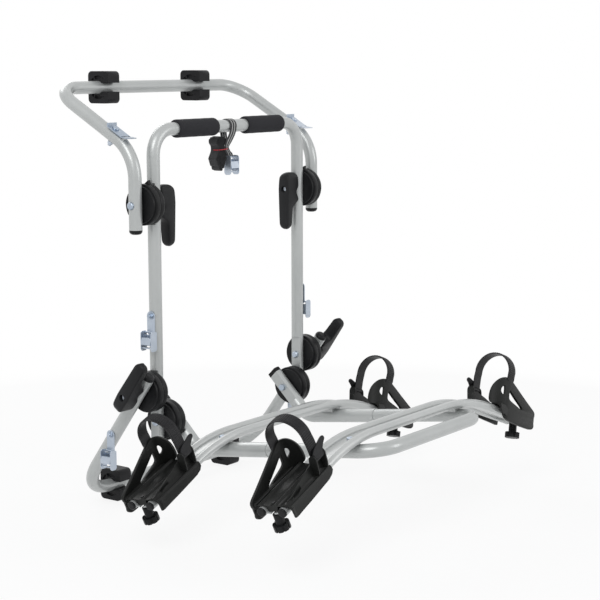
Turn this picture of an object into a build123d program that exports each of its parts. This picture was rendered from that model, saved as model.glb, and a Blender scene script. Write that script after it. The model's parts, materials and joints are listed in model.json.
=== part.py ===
from build123d import *
from math import asin, atan2, cos, degrees, hypot, pi, radians, sin, tan
import os

# Trunk mounted bike rack. X runs across the car, +Y towards the car, +Z up.
# The pieces are drawn about the plane of the two legs, with heights above the ground line
# of the lower saddles, and are set on the origin when they are written.

# Driving dimensions of the main arch
frame_tube_d = 30.0
frame_wall = 1.5
leg_spacing = 544.0
top_bar_height = 897.5
arch_corner_radius = 58.0
leg_foot_height = 189.0
foam_d = 42.0
foam_length = 170.0
foam_gap = 112.0

# Driving dimensions of the hinges
upper_hinge_drop = 165.5
lower_hinge_height = 304.0
platform_hinge_height = 229.0
platform_hinge_y = -4.0
disc_d = 94.0
disc_width = 19.4
disc_hub_d = 84.0
disc_hub_width = 6.0
disc_rim_round = 3.0
stop_fin_height = 8.0
stop_fin_width = 9.0
stop_fin_length = 16.0
leg_outer_flat = 9.0
leg_inner_flat = 7.5
arm_flat = 14.0
running_gap = 0.3
hinge_bolt_d = 10.0
bolt_clearance = 0.05
bolt_head_d = 17.0
bolt_head_width = 6.5
spotface_depth = 1.5
sleeve_bore_d = 8.0
sleeve_overlap_share = 0.5
cap_length = 10.0
cap_depth = 12.0
cap_round_share = 0.85
hex_share = 0.8
dome_share = 0.6

# Driving dimensions of the upper frame
upper_bar_y = 245.0
upper_bar_rise = 257.0
upper_slope = 29.5
upper_bend_radius = 105.0
upper_corner_radius = 70.0
upper_foot_drop = 55.0
strap_plate_reach = 209.0
saddle_spacing_upper = 336.0

# Driving dimensions of the lower frame
lower_reach = 328.0
lower_slope = 54.0
lower_corner_radius = 100.0
lower_tail = 48.0
saddle_near_lower = -210.0
saddle_far_lower = 210.0

# Rubber saddles
saddle_depth = 64.0
saddle_height = 76.0
saddle_width = 40.0
saddle_mouth = 21.0
saddle_round = 11.0
saddle_pocket_depth = 5.0
saddle_pocket_wall = 4.5
saddle_pocket_end = 8.0
saddle_rib_width = 3.0
saddle_rib_count = 6

# Platform bars and hoop
bar_d = 34.0
bar_wall = 1.4
bar_flat = 11.0
bar_top_tail = 42.0
bar_bend_y = -72.0
bar_bend_radius = 50.0
deck_tilt = 7.6
bar_line_y = -211.0
bar_line_height = 181.0
sleeve_end_y = -281.0
hoop_tube_d = 31.0
hoop_wall = 1.8
hoop_outer_y = -578.0
hoop_corner_radius = 64.0
hoop_overlap = 46.0

# Wheel rails
rail_tube_d = 20.0
rail_tube_wall = 1.5
rail_tube_spacing = 53.0
rail_web = 2.5
rail_web_dip = 5.0
rail_flat_half = 150.0
wing_slope = 20.5
wing_arc_radius = 514.0
wing_end = 187.0
rail_inner_y = -144.0
rail_outer_y = -497.0
rail_saddle_height = 2.5
rail_saddle_length = 32.0
rail_saddle_depth = 30.0
rail_bolt_d = 8.0
rail_bolt_head_d = 14.0
rail_bolt_head_height = 5.0
rail_plug_depth = 9.0
rail_plug_lip = 5.0
web_slot_width = 9.5

# Wheel holders
holder_x = 430.0
holder_inner = 90.0
holder_outer = 75.0
holder_half_width = 52.0
holder_skirt = 16.0
holder_top = 26.0
holder_wall = 4.0
trough_depth = 10.0
holder_clearance = 0.4
holder_slide_in = 20.0
holder_slide_out = 10.0
apex_s = -45.0
apex_height = 80.0
apex_lean = 14.0
apex_wall = 8.0
apex_round = 16.0
window_top_share = 1.7
strap_s = -50.0
strap_width = 22.0
strap_thickness = 3.0
strap_arch_radius = 46.5
strap_arch_height = 101.0
strap_arch_y = -10.0
strap_rib_pitch = 5.0
strap_rib_height = 1.3
barrel_d = 16.0
ratchet_width = 28.0
ratchet_reach = 34.0
ratchet_pin_d = 5.0
ratchet_teeth = 12
ear_share = 0.8
thumb_offset_share = 0.15
thumb_width_share = 0.7
knob_s = 68.0
knob_d = 36.0
knob_height = 14.0
knob_neck_d = 20.0
knob_stem_d = 8.0
knob_drop = 47.0
knob_grip_count = 8

# Clamp levers
lever_long = 98.0
lever_short = 38.0
lever_blade_width = 33.0
lever_blade_thickness = 13.0
lever_tip_width = 29.0
lever_boss_width = 25.0
lever_boss_long = 44.0
lever_boss_short = 26.0
lever_boss_depth = 26.0
lever_edge_round = 3.0
lever_nut_recess = 4.0
lever_recess_share = 0.8

# Cam buckles and webbing
webbing_width = 25.0
webbing_thickness = 1.6
link_width = 22.0
link_thickness = 2.0
link_length = 34.0
buckle_width = 32.0
buckle_depth = 20.0
buckle_length = 46.0
buckle_plate = 1.6
buckle_pin_d = 4.0
buckle_bolt_d = 8.0
cam_d = 10.0
cam_pivot_depth_share = 0.55
cam_pivot_drop_share = 0.42
cam_plate_shares = ((0, 0.5), (0.75, 0.5), (1.1, -1.1), (0.9, -1.1), (0.5, 0), (0, 0))
leg_buckle_rise = 173.0
arm_buckle_reach = 126.0
main_buckle_drop = 69.5
strap_x = -3.0
hank_layers = 9
hank_top_drop = 25.5
hank_waist_drop = 52.5
hank_foot_drop = 104.5
hank_x = -44.0
hank_pitch_lobe = 4.6
hank_pitch_waist = 2.3

# Values worked out from the driving dimensions
tube_r = frame_tube_d / 2
leg_x = leg_spacing / 2
stack = 2 * disc_width + running_gap
arm_x = leg_x + leg_outer_flat + stack + arm_flat
bar_x = leg_x - leg_inner_flat - stack - bar_flat
bolt_hole_r = hinge_bolt_d / 2 + bolt_clearance
overrun = frame_tube_d
upper_hinge_height = top_bar_height - upper_hinge_drop
upper_bar_height = upper_hinge_height + upper_bar_rise
upper_foot_height = upper_hinge_height - upper_foot_drop
main_buckle_height = top_bar_height - main_buckle_drop
hank_top_height = top_bar_height - hank_top_drop
hank_waist_height = top_bar_height - hank_waist_drop
hank_foot_height = top_bar_height - hank_foot_drop
leg_buckle_height = lower_hinge_height + leg_buckle_rise
disc_r = disc_d / 2
pieces = {}


def keep(name, part):
    """Label a finished piece and put it with the others."""
    part.label = name
    pieces[name] = part


def group(parts):
    """Separate solids of several pieces, gathered in one node."""
    return Compound([solid for part in parts for solid in part.solids()])


def both_sides(part):
    """The piece and its mirror image across the middle plane, as one node."""
    return group([part, mirror(part, about=Plane.YZ)])


def tube_along(path, outer_r, wall):
    """A round tube swept along a path of straight runs and arcs."""
    with BuildPart() as tube:
        with BuildSketch(Plane(origin=path @ 0, z_dir=path % 0)):
            Circle(outer_r)
            Circle(outer_r - wall, mode=Mode.SUBTRACT)
        sweep(path=path)
    return tube.part


def along_x(x, y, z):
    """A plane that faces +X, with its own x along +Y and its own y along +Z."""
    return Plane(origin=(x, y, z), x_dir=(0, 1, 0), z_dir=(1, 0, 0))


# Main arch: one bent tube with thick pressed hinge zones
with BuildLine() as arch_path:
    FilletPolyline(
        (-leg_x, 0, leg_foot_height),
        (-leg_x, 0, top_bar_height),
        (leg_x, 0, top_bar_height),
        (leg_x, 0, leg_foot_height),
        radius=arch_corner_radius,
    )
arch_tube = tube_along(arch_path.line, tube_r, frame_wall)
lower_zone_top = lower_hinge_height + disc_r
sleeve_r = tube_r - frame_wall * sleeve_overlap_share
with BuildPart() as main_arch:
    add(arch_tube)
    with BuildSketch(Plane.XY.offset(upper_hinge_height - disc_r)):
        with Locations((leg_x, 0), (-leg_x, 0)):
            Circle(sleeve_r)
            Circle(sleeve_bore_d / 2, mode=Mode.SUBTRACT)
    extrude(amount=disc_d)
    with BuildSketch(Plane.XY.offset(leg_foot_height)):
        with Locations((leg_x, 0), (-leg_x, 0)):
            Circle(sleeve_r)
            Circle(sleeve_bore_d / 2, mode=Mode.SUBTRACT)
    extrude(amount=lower_zone_top - leg_foot_height)
    for side in (-1, 1):
        outer_face = side * (leg_x + leg_outer_flat)
        inner_face = side * (leg_x - leg_inner_flat)
        with BuildSketch(along_x(outer_face, 0, upper_hinge_height)):
            Rectangle(2 * overrun, disc_d)
        extrude(amount=side * overrun, mode=Mode.SUBTRACT)
        low_middle = (leg_foot_height - overrun + lower_zone_top) / 2
        low_length = lower_zone_top - leg_foot_height + overrun
        with BuildSketch(along_x(outer_face, 0, low_middle)):
            Rectangle(2 * overrun, low_length)
        extrude(amount=side * overrun, mode=Mode.SUBTRACT)
        with BuildSketch(along_x(inner_face, 0, low_middle)):
            Rectangle(2 * overrun, low_length)
        extrude(amount=-side * overrun, mode=Mode.SUBTRACT)
        for y, z in (
            (0, upper_hinge_height),
            (0, lower_hinge_height),
            (platform_hinge_y, platform_hinge_height),
        ):
            with BuildSketch(along_x(side * leg_x, y, z)):
                Circle(bolt_hole_r)
            extrude(amount=overrun, both=True, mode=Mode.SUBTRACT)
        with BuildSketch(along_x(side * leg_x, 0, leg_buckle_height)):
            Circle(buckle_bolt_d / 2 + bolt_clearance)
        extrude(amount=side * overrun, mode=Mode.SUBTRACT)
keep("main_arch", main_arch.part)

# Foam grips on the top bar, one each side of the bare middle
with BuildPart() as foam_grip:
    with BuildSketch(along_x(foam_gap / 2, 0, top_bar_height)):
        Circle(foam_d / 2)
        Circle(tube_r, mode=Mode.SUBTRACT)
    extrude(amount=foam_length - arch_corner_radius / 2)
    outer_rims = edges().filter_by(GeomType.CIRCLE).sort_by(SortBy.RADIUS)[-2:]
    fillet(outer_rims, radius=foam_d / 2 - tube_r - frame_wall)
keep("foam_grips", both_sides(foam_grip.part))

# Plugs in the leg ends, pressed zones and all
with BuildPart() as leg_plug:
    with BuildSketch(Plane.XY.offset(leg_foot_height)):
        with Locations((leg_x, 0)):
            Circle(tube_r)
        with Locations((leg_x + (leg_outer_flat - leg_inner_flat) / 2, 0)):
            Rectangle(leg_outer_flat + leg_inner_flat, frame_tube_d, mode=Mode.INTERSECT)
    extrude(amount=-frame_wall * 2)
    with BuildSketch(Plane.XY.offset(leg_foot_height)):
        with Locations((leg_x, 0)):
            Circle(sleeve_bore_d / 2 - bolt_clearance)
    extrude(amount=sleeve_bore_d)
keep("leg_end_plugs", both_sides(leg_plug.part))


def hinge_disc(x, y, z, facing, fin):
    """Half of a hinge. The friction face is at x, and the body goes towards facing."""
    with BuildPart() as disc:
        with BuildSketch(along_x(x, y, z)):
            Circle(disc_r)
        extrude(amount=facing * (disc_width - disc_hub_width))
        rim = edges().filter_by(GeomType.CIRCLE).sort_by(Axis.X)[-1 if facing > 0 else 0]
        fillet(rim, radius=disc_rim_round)
        with BuildSketch(along_x(x, y, z)):
            Circle(disc_hub_d / 2)
        extrude(amount=facing * disc_width)
        if fin:
            with BuildSketch(along_x(x, y, z)):
                with BuildLine():
                    Polyline(
                        (-stop_fin_length / 2, disc_r - stop_fin_height),
                        (-stop_fin_length / 2, disc_r + stop_fin_height),
                        (stop_fin_length / 2, disc_r - stop_fin_height / 2),
                        close=True,
                    )
                make_face()
            extrude(amount=facing * stop_fin_width)
        with BuildSketch(along_x(x, y, z)):
            Circle(bolt_hole_r)
        extrude(amount=facing * disc_width, mode=Mode.SUBTRACT)
    return disc.part


leg_face = leg_x + leg_outer_flat
friction_in = leg_face + disc_width
friction_out = friction_in + running_gap
keep("upper_inner_discs", both_sides(hinge_disc(friction_in, 0, upper_hinge_height, -1, True)))
keep("upper_outer_discs", both_sides(hinge_disc(friction_out, 0, upper_hinge_height, 1, False)))
keep("lower_inner_discs", both_sides(hinge_disc(friction_in, 0, lower_hinge_height, -1, False)))
keep("lower_outer_discs", both_sides(hinge_disc(friction_out, 0, lower_hinge_height, 1, False)))
leg_back = leg_x - leg_inner_flat
deck_friction_out = leg_back - disc_width
deck_friction_in = deck_friction_out - running_gap
deck_hinge = (platform_hinge_y, platform_hinge_height)
keep("platform_outer_discs", both_sides(hinge_disc(deck_friction_out, *deck_hinge, 1, False)))
keep("platform_inner_discs", both_sides(hinge_disc(deck_friction_in, *deck_hinge, -1, False)))


def hinge_bolt(head_face, tail, y, z, facing):
    """A bolt along X. The head sits on head_face and points towards facing."""
    with BuildPart() as bolt:
        with BuildSketch(along_x(head_face, y, z)):
            Circle(hinge_bolt_d / 2)
        extrude(amount=tail - head_face)
        with BuildSketch(along_x(head_face, y, z)):
            Circle(bolt_head_d / 2)
        extrude(amount=facing * bolt_head_width)
        crown = faces().sort_by(Axis.X)[-1 if facing > 0 else 0]
        fillet(crown.edges(), radius=bolt_head_width / 2)
    return bolt.part


arm_outer = arm_x + tube_r
upper_lever_depth = lever_boss_depth + lever_blade_thickness
upper_head_face = arm_outer - spotface_depth
upper_bolt_tail = leg_x - tube_r - running_gap - upper_lever_depth + lever_nut_recess
keep("upper_hinge_bolts", both_sides(hinge_bolt(upper_head_face, upper_bolt_tail, 0, upper_hinge_height, 1)))
lower_lever_tail = arm_outer + running_gap + upper_lever_depth - lever_nut_recess
bar_back = bar_x - bar_flat
lower_bolt = hinge_bolt(leg_back, lower_lever_tail, 0, lower_hinge_height, -1)
deck_bolt = hinge_bolt(leg_face, bar_back - bolt_head_width, *deck_hinge, 1)
with BuildPart() as deck_nut:
    with BuildSketch(along_x(bar_back - running_gap, *deck_hinge)):
        RegularPolygon(bolt_head_d / 2, 6)
    extrude(amount=-bolt_head_width)
    add(deck_bolt)
keep(
    "leg_hinge_bolts",
    group(
        [
            lower_bolt,
            deck_nut.part,
            mirror(lower_bolt, about=Plane.YZ),
            mirror(deck_nut.part, about=Plane.YZ),
        ]
    ),
)

# Upper frame
upper_kink_height = upper_bar_height - upper_bar_y * tan(radians(upper_slope))
with BuildLine() as upper_path:
    FilletPolyline(
        (-arm_x, 0, upper_foot_height),
        (-arm_x, 0, upper_kink_height),
        (-arm_x, upper_bar_y, upper_bar_height),
        (arm_x, upper_bar_y, upper_bar_height),
        (arm_x, 0, upper_kink_height),
        (arm_x, 0, upper_foot_height),
        radius=[upper_bend_radius, upper_corner_radius, upper_corner_radius, upper_bend_radius],
    )
upper_bar_rise_from_kink = upper_bar_height - upper_kink_height
clip_down = hypot(upper_bar_y, upper_bar_rise_from_kink) - strap_plate_reach
clip_slope = radians(upper_slope)
clip_y = clip_down * cos(clip_slope)
clip_z = upper_kink_height + clip_down * sin(clip_slope)
upper_tube = tube_along(upper_path.line, tube_r, frame_wall)
clip_up = (0, -sin(clip_slope), cos(clip_slope))
with BuildPart() as upper_frame_tube:
    add(upper_tube)
    with BuildSketch(Plane.XY.offset(upper_foot_height)):
        with Locations((arm_x, 0), (-arm_x, 0)):
            Circle(sleeve_r)
            Circle(sleeve_bore_d / 2, mode=Mode.SUBTRACT)
    extrude(amount=upper_hinge_height + disc_r - upper_foot_height)
    for side in (-1, 1):
        with BuildSketch(along_x(side * (arm_x - arm_flat), 0, upper_hinge_height)):
            Rectangle(2 * overrun, disc_d)
        extrude(amount=-side * overrun, mode=Mode.SUBTRACT)
        with BuildSketch(along_x(side * upper_head_face, 0, upper_hinge_height)):
            Circle(bolt_head_d / 2 + running_gap)
        extrude(amount=side * overrun, mode=Mode.SUBTRACT)
        with BuildSketch(along_x(side * arm_x, 0, upper_hinge_height)):
            Circle(bolt_hole_r)
        extrude(amount=overrun, both=True, mode=Mode.SUBTRACT)
        with BuildSketch(Plane(origin=(side * arm_x, clip_y, clip_z), x_dir=(1, 0, 0), z_dir=clip_up)):
            Circle(buckle_bolt_d / 2 + bolt_clearance)
        extrude(amount=overrun, both=True, mode=Mode.SUBTRACT)
keep("upper_frame_tube", upper_frame_tube.part)


def end_cap(plane, radius, length, depth):
    """A domed plastic cap on a tube end, pegged in its bore. The plane faces out of the tube."""
    with BuildPart() as cap:
        with BuildSketch(plane):
            Circle(radius)
        extrude(amount=length)
        fillet(faces().sort_by(Axis(plane.origin, plane.z_dir))[-1].edges(), radius=length * cap_round_share)
        with BuildSketch(plane):
            Circle(sleeve_bore_d / 2 - bolt_clearance)
        extrude(amount=-depth)
    return cap.part


upper_cap_plane = Plane(origin=(arm_x, 0, upper_foot_height), x_dir=(1, 0, 0), z_dir=(0, 0, -1))
keep("upper_arm_caps", both_sides(end_cap(upper_cap_plane, tube_r, cap_length, cap_depth)))


def saddle(x, y, z):
    """A rubber saddle clipped on a crossbar, with its mouth away from the car."""
    with BuildPart() as pad:
        with BuildSketch(along_x(x, y, z)):
            RectangleRounded(saddle_depth, saddle_height, saddle_round)
            Circle(tube_r, mode=Mode.SUBTRACT)
            with Locations((-saddle_depth / 2, 0)):
                Rectangle(saddle_depth, saddle_mouth, mode=Mode.SUBTRACT)
        extrude(amount=saddle_width / 2, both=True)
        for side in (-1, 1):
            with BuildSketch(along_x(x + side * (saddle_width / 2 - saddle_pocket_depth), y, z)):
                Circle(saddle_depth / 2 - saddle_pocket_wall)
                Circle(tube_r + saddle_pocket_wall, mode=Mode.SUBTRACT)
                with PolarLocations(0, saddle_rib_count):
                    Rectangle(2 * saddle_depth, saddle_rib_width, mode=Mode.SUBTRACT)
                with Locations((-saddle_depth / 2, 0)):
                    Rectangle(saddle_depth - saddle_pocket_end, 2 * saddle_mouth, mode=Mode.SUBTRACT)
            extrude(amount=side * saddle_pocket_depth, mode=Mode.SUBTRACT)
    return pad.part


upper_saddle = saddle(saddle_spacing_upper / 2, upper_bar_y, upper_bar_height)
keep("upper_saddles", both_sides(upper_saddle))


def strap_plate(side):
    """A slotted strap plate on the sloping arm, with the bolt that holds it."""
    plate_length = 66.0
    plate_width = 30.0
    plate_thickness = 2.0
    plate_head = 14.0
    flare = 18.0
    lip = 7.0
    slot_length = 26.0
    slot_width = 5.0
    plate_top = tube_r
    x = side * arm_x
    frame = Plane(origin=(x, clip_y, clip_z), x_dir=(0, -cos(clip_slope), -sin(clip_slope)), z_dir=(-1, 0, 0))
    with BuildPart() as plate:
        with BuildSketch(frame):
            with BuildLine():
                Polyline(
                    (-plate_head - lip / 2, plate_top + lip),
                    (-plate_head, plate_top),
                    (plate_length - plate_head - flare, plate_top),
                    (plate_length - plate_head, plate_top + lip),
                    (plate_length - plate_head, plate_top + lip + plate_thickness),
                    (plate_length - plate_head - flare, plate_top + plate_thickness),
                    (-plate_head + plate_thickness, plate_top + plate_thickness),
                    (-plate_head - lip / 2 + plate_thickness, plate_top + lip + plate_thickness),
                    close=True,
                )
            make_face()
        extrude(amount=plate_width / 2, both=True)
        with BuildSketch(Plane(origin=(x, clip_y, clip_z), x_dir=(1, 0, 0), z_dir=clip_up)):
            with Locations((0, -(plate_length - plate_head - flare))):
                Rectangle(slot_length, slot_width)
        extrude(amount=2 * overrun, mode=Mode.SUBTRACT)
        with BuildSketch(Plane(origin=(x, clip_y, clip_z), x_dir=(1, 0, 0), z_dir=clip_up)):
            Circle(buckle_bolt_d / 2 + bolt_clearance)
        extrude(amount=2 * overrun, mode=Mode.SUBTRACT)
    stem = tube_r + plate_thickness
    with BuildPart() as bolt:
        with BuildSketch(Plane(origin=(x, clip_y, clip_z), x_dir=(1, 0, 0), z_dir=clip_up)):
            Circle(buckle_bolt_d / 2)
        extrude(amount=stem)
        with BuildSketch(Plane(origin=(x, clip_y, clip_z), x_dir=(1, 0, 0), z_dir=clip_up)):
            Circle(buckle_bolt_d / 2)
        extrude(amount=-(tube_r + bolt_head_width + plate_thickness * 2))
        head = Plane(origin=(x, clip_y, clip_z), x_dir=(1, 0, 0), z_dir=clip_up).offset(stem)
        with BuildSketch(head):
            Circle(buckle_bolt_d)
        extrude(amount=buckle_bolt_d / 2)
        fillet(faces().sort_by(Axis((x, clip_y, clip_z), clip_up))[-1].edges(), radius=buckle_bolt_d / 4)
        nut = Plane(origin=(x, clip_y, clip_z), x_dir=(1, 0, 0), z_dir=clip_up).offset(-tube_r)
        with BuildSketch(nut):
            RegularPolygon(buckle_bolt_d * hex_share, 6)
        extrude(amount=-bolt_head_width)
    return [plate.part, bolt.part]


keep("upper_strap_plates", group(strap_plate(-1) + strap_plate(1)))

# Lower frame
down_y = cos(radians(lower_slope))
down_z = -sin(radians(lower_slope))
lower_bar_y = lower_reach * down_y
lower_bar_z = lower_hinge_height + lower_reach * down_z
lower_tail_y = -lower_tail * down_y
lower_tail_z = lower_hinge_height - lower_tail * down_z
with BuildLine() as lower_path:
    FilletPolyline(
        (-arm_x, lower_tail_y, lower_tail_z),
        (-arm_x, lower_bar_y, lower_bar_z),
        (arm_x, lower_bar_y, lower_bar_z),
        (arm_x, lower_tail_y, lower_tail_z),
        radius=lower_corner_radius,
    )
lower_tube = tube_along(lower_path.line, tube_r, frame_wall)
arm_end = Plane(origin=(0, lower_tail_y, lower_tail_z), x_dir=(1, 0, 0), z_dir=(0, down_y, down_z))
arm_buckle_y = arm_buckle_reach * down_y
arm_buckle_z = lower_hinge_height + arm_buckle_reach * down_z
with BuildPart() as lower_frame_tube:
    add(lower_tube)
    with BuildSketch(arm_end):
        with Locations((arm_x, 0), (-arm_x, 0)):
            Circle(sleeve_r)
            Circle(sleeve_bore_d / 2, mode=Mode.SUBTRACT)
    extrude(amount=lower_tail + disc_r)
    for side in (-1, 1):
        flat_plane = Plane(
            origin=(side * (arm_x - arm_flat), 0, lower_hinge_height),
            x_dir=(0, down_y, down_z),
            z_dir=(1, 0, 0),
        )
        with BuildSketch(flat_plane):
            Rectangle(disc_d, 2 * overrun)
        extrude(amount=-side * overrun, mode=Mode.SUBTRACT)
        with BuildSketch(along_x(side * arm_x, 0, lower_hinge_height)):
            Circle(bolt_hole_r)
        extrude(amount=overrun, both=True, mode=Mode.SUBTRACT)
        with BuildSketch(along_x(side * arm_x, arm_buckle_y, arm_buckle_z)):
            Circle(buckle_bolt_d / 2 + bolt_clearance)
        extrude(amount=side * overrun, mode=Mode.SUBTRACT)
keep("lower_frame_tube", lower_frame_tube.part)

cap_plane = Plane(origin=(arm_x, lower_tail_y, lower_tail_z), x_dir=(1, 0, 0), z_dir=(0, -down_y, -down_z))
keep("lower_arm_caps", both_sides(end_cap(cap_plane, tube_r, cap_length, cap_depth)))
saddle_left = saddle(saddle_near_lower, lower_bar_y, lower_bar_z)
saddle_right = saddle(saddle_far_lower, lower_bar_y, lower_bar_z)
keep("lower_saddles", group([saddle_left, saddle_right]))

# Platform bars: bent tubes from the hinge to the two rails
deck_down = tan(radians(deck_tilt))
bend_z = bar_line_height - deck_down * (bar_bend_y - bar_line_y)
drop = atan2(platform_hinge_height - bend_z, platform_hinge_y - bar_bend_y)
tail_y = platform_hinge_y + bar_top_tail * cos(drop)
tail_z = platform_hinge_height + bar_top_tail * sin(drop)
sleeve_end_z = bar_line_height - deck_down * (sleeve_end_y - bar_line_y)
with BuildLine() as bar_path:
    FilletPolyline(
        (bar_x, tail_y, tail_z),
        (bar_x, bar_bend_y, bend_z),
        (bar_x, sleeve_end_y, sleeve_end_z),
        radius=bar_bend_radius,
    )
bar_tube = tube_along(bar_path.line, bar_d / 2, bar_wall)
bar_r = bar_d / 2
bar_end = Plane(origin=(bar_x, tail_y, tail_z), x_dir=(1, 0, 0), z_dir=(0, cos(drop), sin(drop)))
with BuildPart() as platform_bar:
    add(bar_tube)
    with BuildSketch(bar_end):
        Circle(bar_r - bar_wall * sleeve_overlap_share)
        Circle(sleeve_bore_d / 2, mode=Mode.SUBTRACT)
    extrude(amount=-(bar_top_tail + disc_r))
    for facing in (-1, 1):
        flat_face = Plane(
            origin=(bar_x + facing * bar_flat, *deck_hinge),
            x_dir=(0, cos(drop), sin(drop)),
            z_dir=(1, 0, 0),
        )
        with BuildSketch(flat_face):
            Rectangle(disc_d, 2 * bar_d)
        extrude(amount=facing * overrun, mode=Mode.SUBTRACT)
    with BuildSketch(along_x(bar_x, *deck_hinge)):
        Circle(bolt_hole_r)
    extrude(amount=overrun, both=True, mode=Mode.SUBTRACT)
keep("platform_bars", both_sides(platform_bar.part))

with BuildPart() as bar_cap:
    with BuildSketch(bar_end):
        Circle(bar_r)
        Rectangle(2 * bar_flat, bar_d, mode=Mode.INTERSECT)
    extrude(amount=cap_length)
    with BuildSketch(bar_end):
        Circle(sleeve_bore_d / 2 - bolt_clearance)
    extrude(amount=-cap_depth)
keep("platform_arm_caps", both_sides(bar_cap.part))

# Hoop: slides into the bars and closes the outer end of the platform
hoop_bar_z = bar_line_height - deck_down * (hoop_outer_y - bar_line_y)
hoop_start_y = sleeve_end_y + hoop_overlap
hoop_start_z = bar_line_height - deck_down * (hoop_start_y - bar_line_y)
with BuildLine() as hoop_path:
    FilletPolyline(
        (-bar_x, hoop_start_y, hoop_start_z),
        (-bar_x, hoop_outer_y, hoop_bar_z),
        (bar_x, hoop_outer_y, hoop_bar_z),
        (bar_x, hoop_start_y, hoop_start_z),
        radius=hoop_corner_radius,
    )
hoop_tube = tube_along(hoop_path.line, hoop_tube_d / 2, hoop_wall)
keep("platform_hoop", hoop_tube)


rest_angle = asin((bar_x - rail_flat_half) / wing_arc_radius)
rest_fall = wing_arc_radius * (1 - cos(rest_angle))


def deck_plane(y):
    """The plane of a rail's centre line, resting above the bars at y."""
    tilt = radians(deck_tilt)
    under = bar_r if y > sleeve_end_y else hoop_tube_d / 2
    rise = under + rail_saddle_height + running_gap + rail_tube_d / 2 + rest_fall
    bar_z = bar_line_height - deck_down * (y - rise * sin(tilt) - bar_line_y)
    origin = (0, y, bar_z + rise * cos(tilt))
    return Plane(origin=origin, x_dir=(1, 0, 0), z_dir=(0, sin(tilt), cos(tilt)))


slope = radians(wing_slope)
arc_run = wing_arc_radius * sin(slope)
arc_fall = wing_arc_radius * (1 - cos(slope))
wing_x = rail_flat_half + arc_run
tip_x = wing_x + wing_end * cos(slope)
tip_fall = arc_fall + wing_end * sin(slope)
holder_fall = arc_fall + (holder_x - wing_x) * tan(slope)


def wing_plane(deck, side):
    """The frame of a wheel holder: x outward down the wing, z off the rail."""
    origin = deck.origin + deck.x_dir * (side * holder_x) - deck.z_dir * holder_fall
    outward = deck.x_dir * (side * cos(slope)) - deck.z_dir * sin(slope)
    normal = deck.x_dir * (side * sin(slope)) + deck.z_dir * cos(slope)
    return Plane(origin=origin, x_dir=outward, z_dir=normal)


def rail_rest(side):
    """The frame of a rail's centre line where it crosses a bar."""
    return Location((side * bar_x, 0, -rest_fall), (0, side * degrees(rest_angle), 0))


def wheel_rail():
    """One rail about its own frame: two tubes and a dished web, bent down at both ends."""
    kink_x = rail_flat_half + wing_arc_radius * tan(slope / 2)
    with BuildLine(Plane.XZ) as path:
        FilletPolyline(
            (-tip_x, -tip_fall),
            (-kink_x, 0),
            (kink_x, 0),
            (tip_x, -tip_fall),
            radius=wing_arc_radius,
        )
    start = Plane(origin=path.line @ 0, x_dir=(0, 1, 0), z_dir=path.line % 0)
    half = rail_tube_spacing / 2
    with BuildPart() as rail:
        with BuildSketch(start):
            with Locations((-half, 0), (half, 0)):
                Circle(rail_tube_d / 2)
            with BuildLine():
                ThreePointArc((-half, 0), (0, -rail_web_dip), (half, 0))
                Line((half, 0), (half, rail_web))
                ThreePointArc((half, rail_web), (0, rail_web - rail_web_dip), (-half, rail_web))
                Line((-half, rail_web), (-half, 0))
            make_face()
            with Locations((-half, 0), (half, 0)):
                Circle(rail_tube_d / 2 - rail_tube_wall, mode=Mode.SUBTRACT)
        sweep(path=path.line)
        deck = Plane.XY
        for side in (-1, 1):
            slot_middle = knob_s + (holder_slide_out - holder_slide_in) / 2
            slot_length = holder_slide_in + holder_slide_out + web_slot_width
            with BuildSketch(wing_plane(deck, side)):
                with Locations((slot_middle, 0)):
                    SlotOverall(slot_length, web_slot_width)
            extrude(amount=rail_tube_d, both=True, mode=Mode.SUBTRACT)
            with BuildSketch(Plane(rail_rest(side))):
                Circle(rail_bolt_d / 2 + bolt_clearance)
            extrude(amount=rail_tube_d, both=True, mode=Mode.SUBTRACT)
    return rail.part


rail = wheel_rail()
inner_deck = deck_plane(rail_inner_y)
outer_deck = deck_plane(rail_outer_y)
decks = (("inner", inner_deck), ("outer", outer_deck))
for name, deck in decks:
    keep(f"rail_{name}", rail.moved(deck.location))

# Plugs in the rail tubes' ends
with BuildPart() as rail_plug:
    with BuildSketch(Plane.XY):
        Circle(rail_tube_d / 2)
    extrude(amount=rail_plug_lip)
    fillet(faces().sort_by(Axis.Z)[-1].edges(), radius=rail_plug_lip * dome_share)
    with BuildSketch(Plane.XY):
        Circle(rail_tube_d / 2 - rail_tube_wall - bolt_clearance)
    extrude(amount=-rail_plug_depth)
plugs = []
for name, deck in decks:
    for side in (-1, 1):
        wing = wing_plane(deck, side)
        end_s = wing_end - (holder_x - wing_x) / cos(slope)
        for y in (-rail_tube_spacing / 2, rail_tube_spacing / 2):
            place = Plane(origin=wing.origin, x_dir=wing.y_dir, z_dir=wing.x_dir)
            spot = place.location * Location((y, 0, end_s))
            plugs.append(rail_plug.part.moved(spot))
keep("rail_end_caps", group(plugs))

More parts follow.
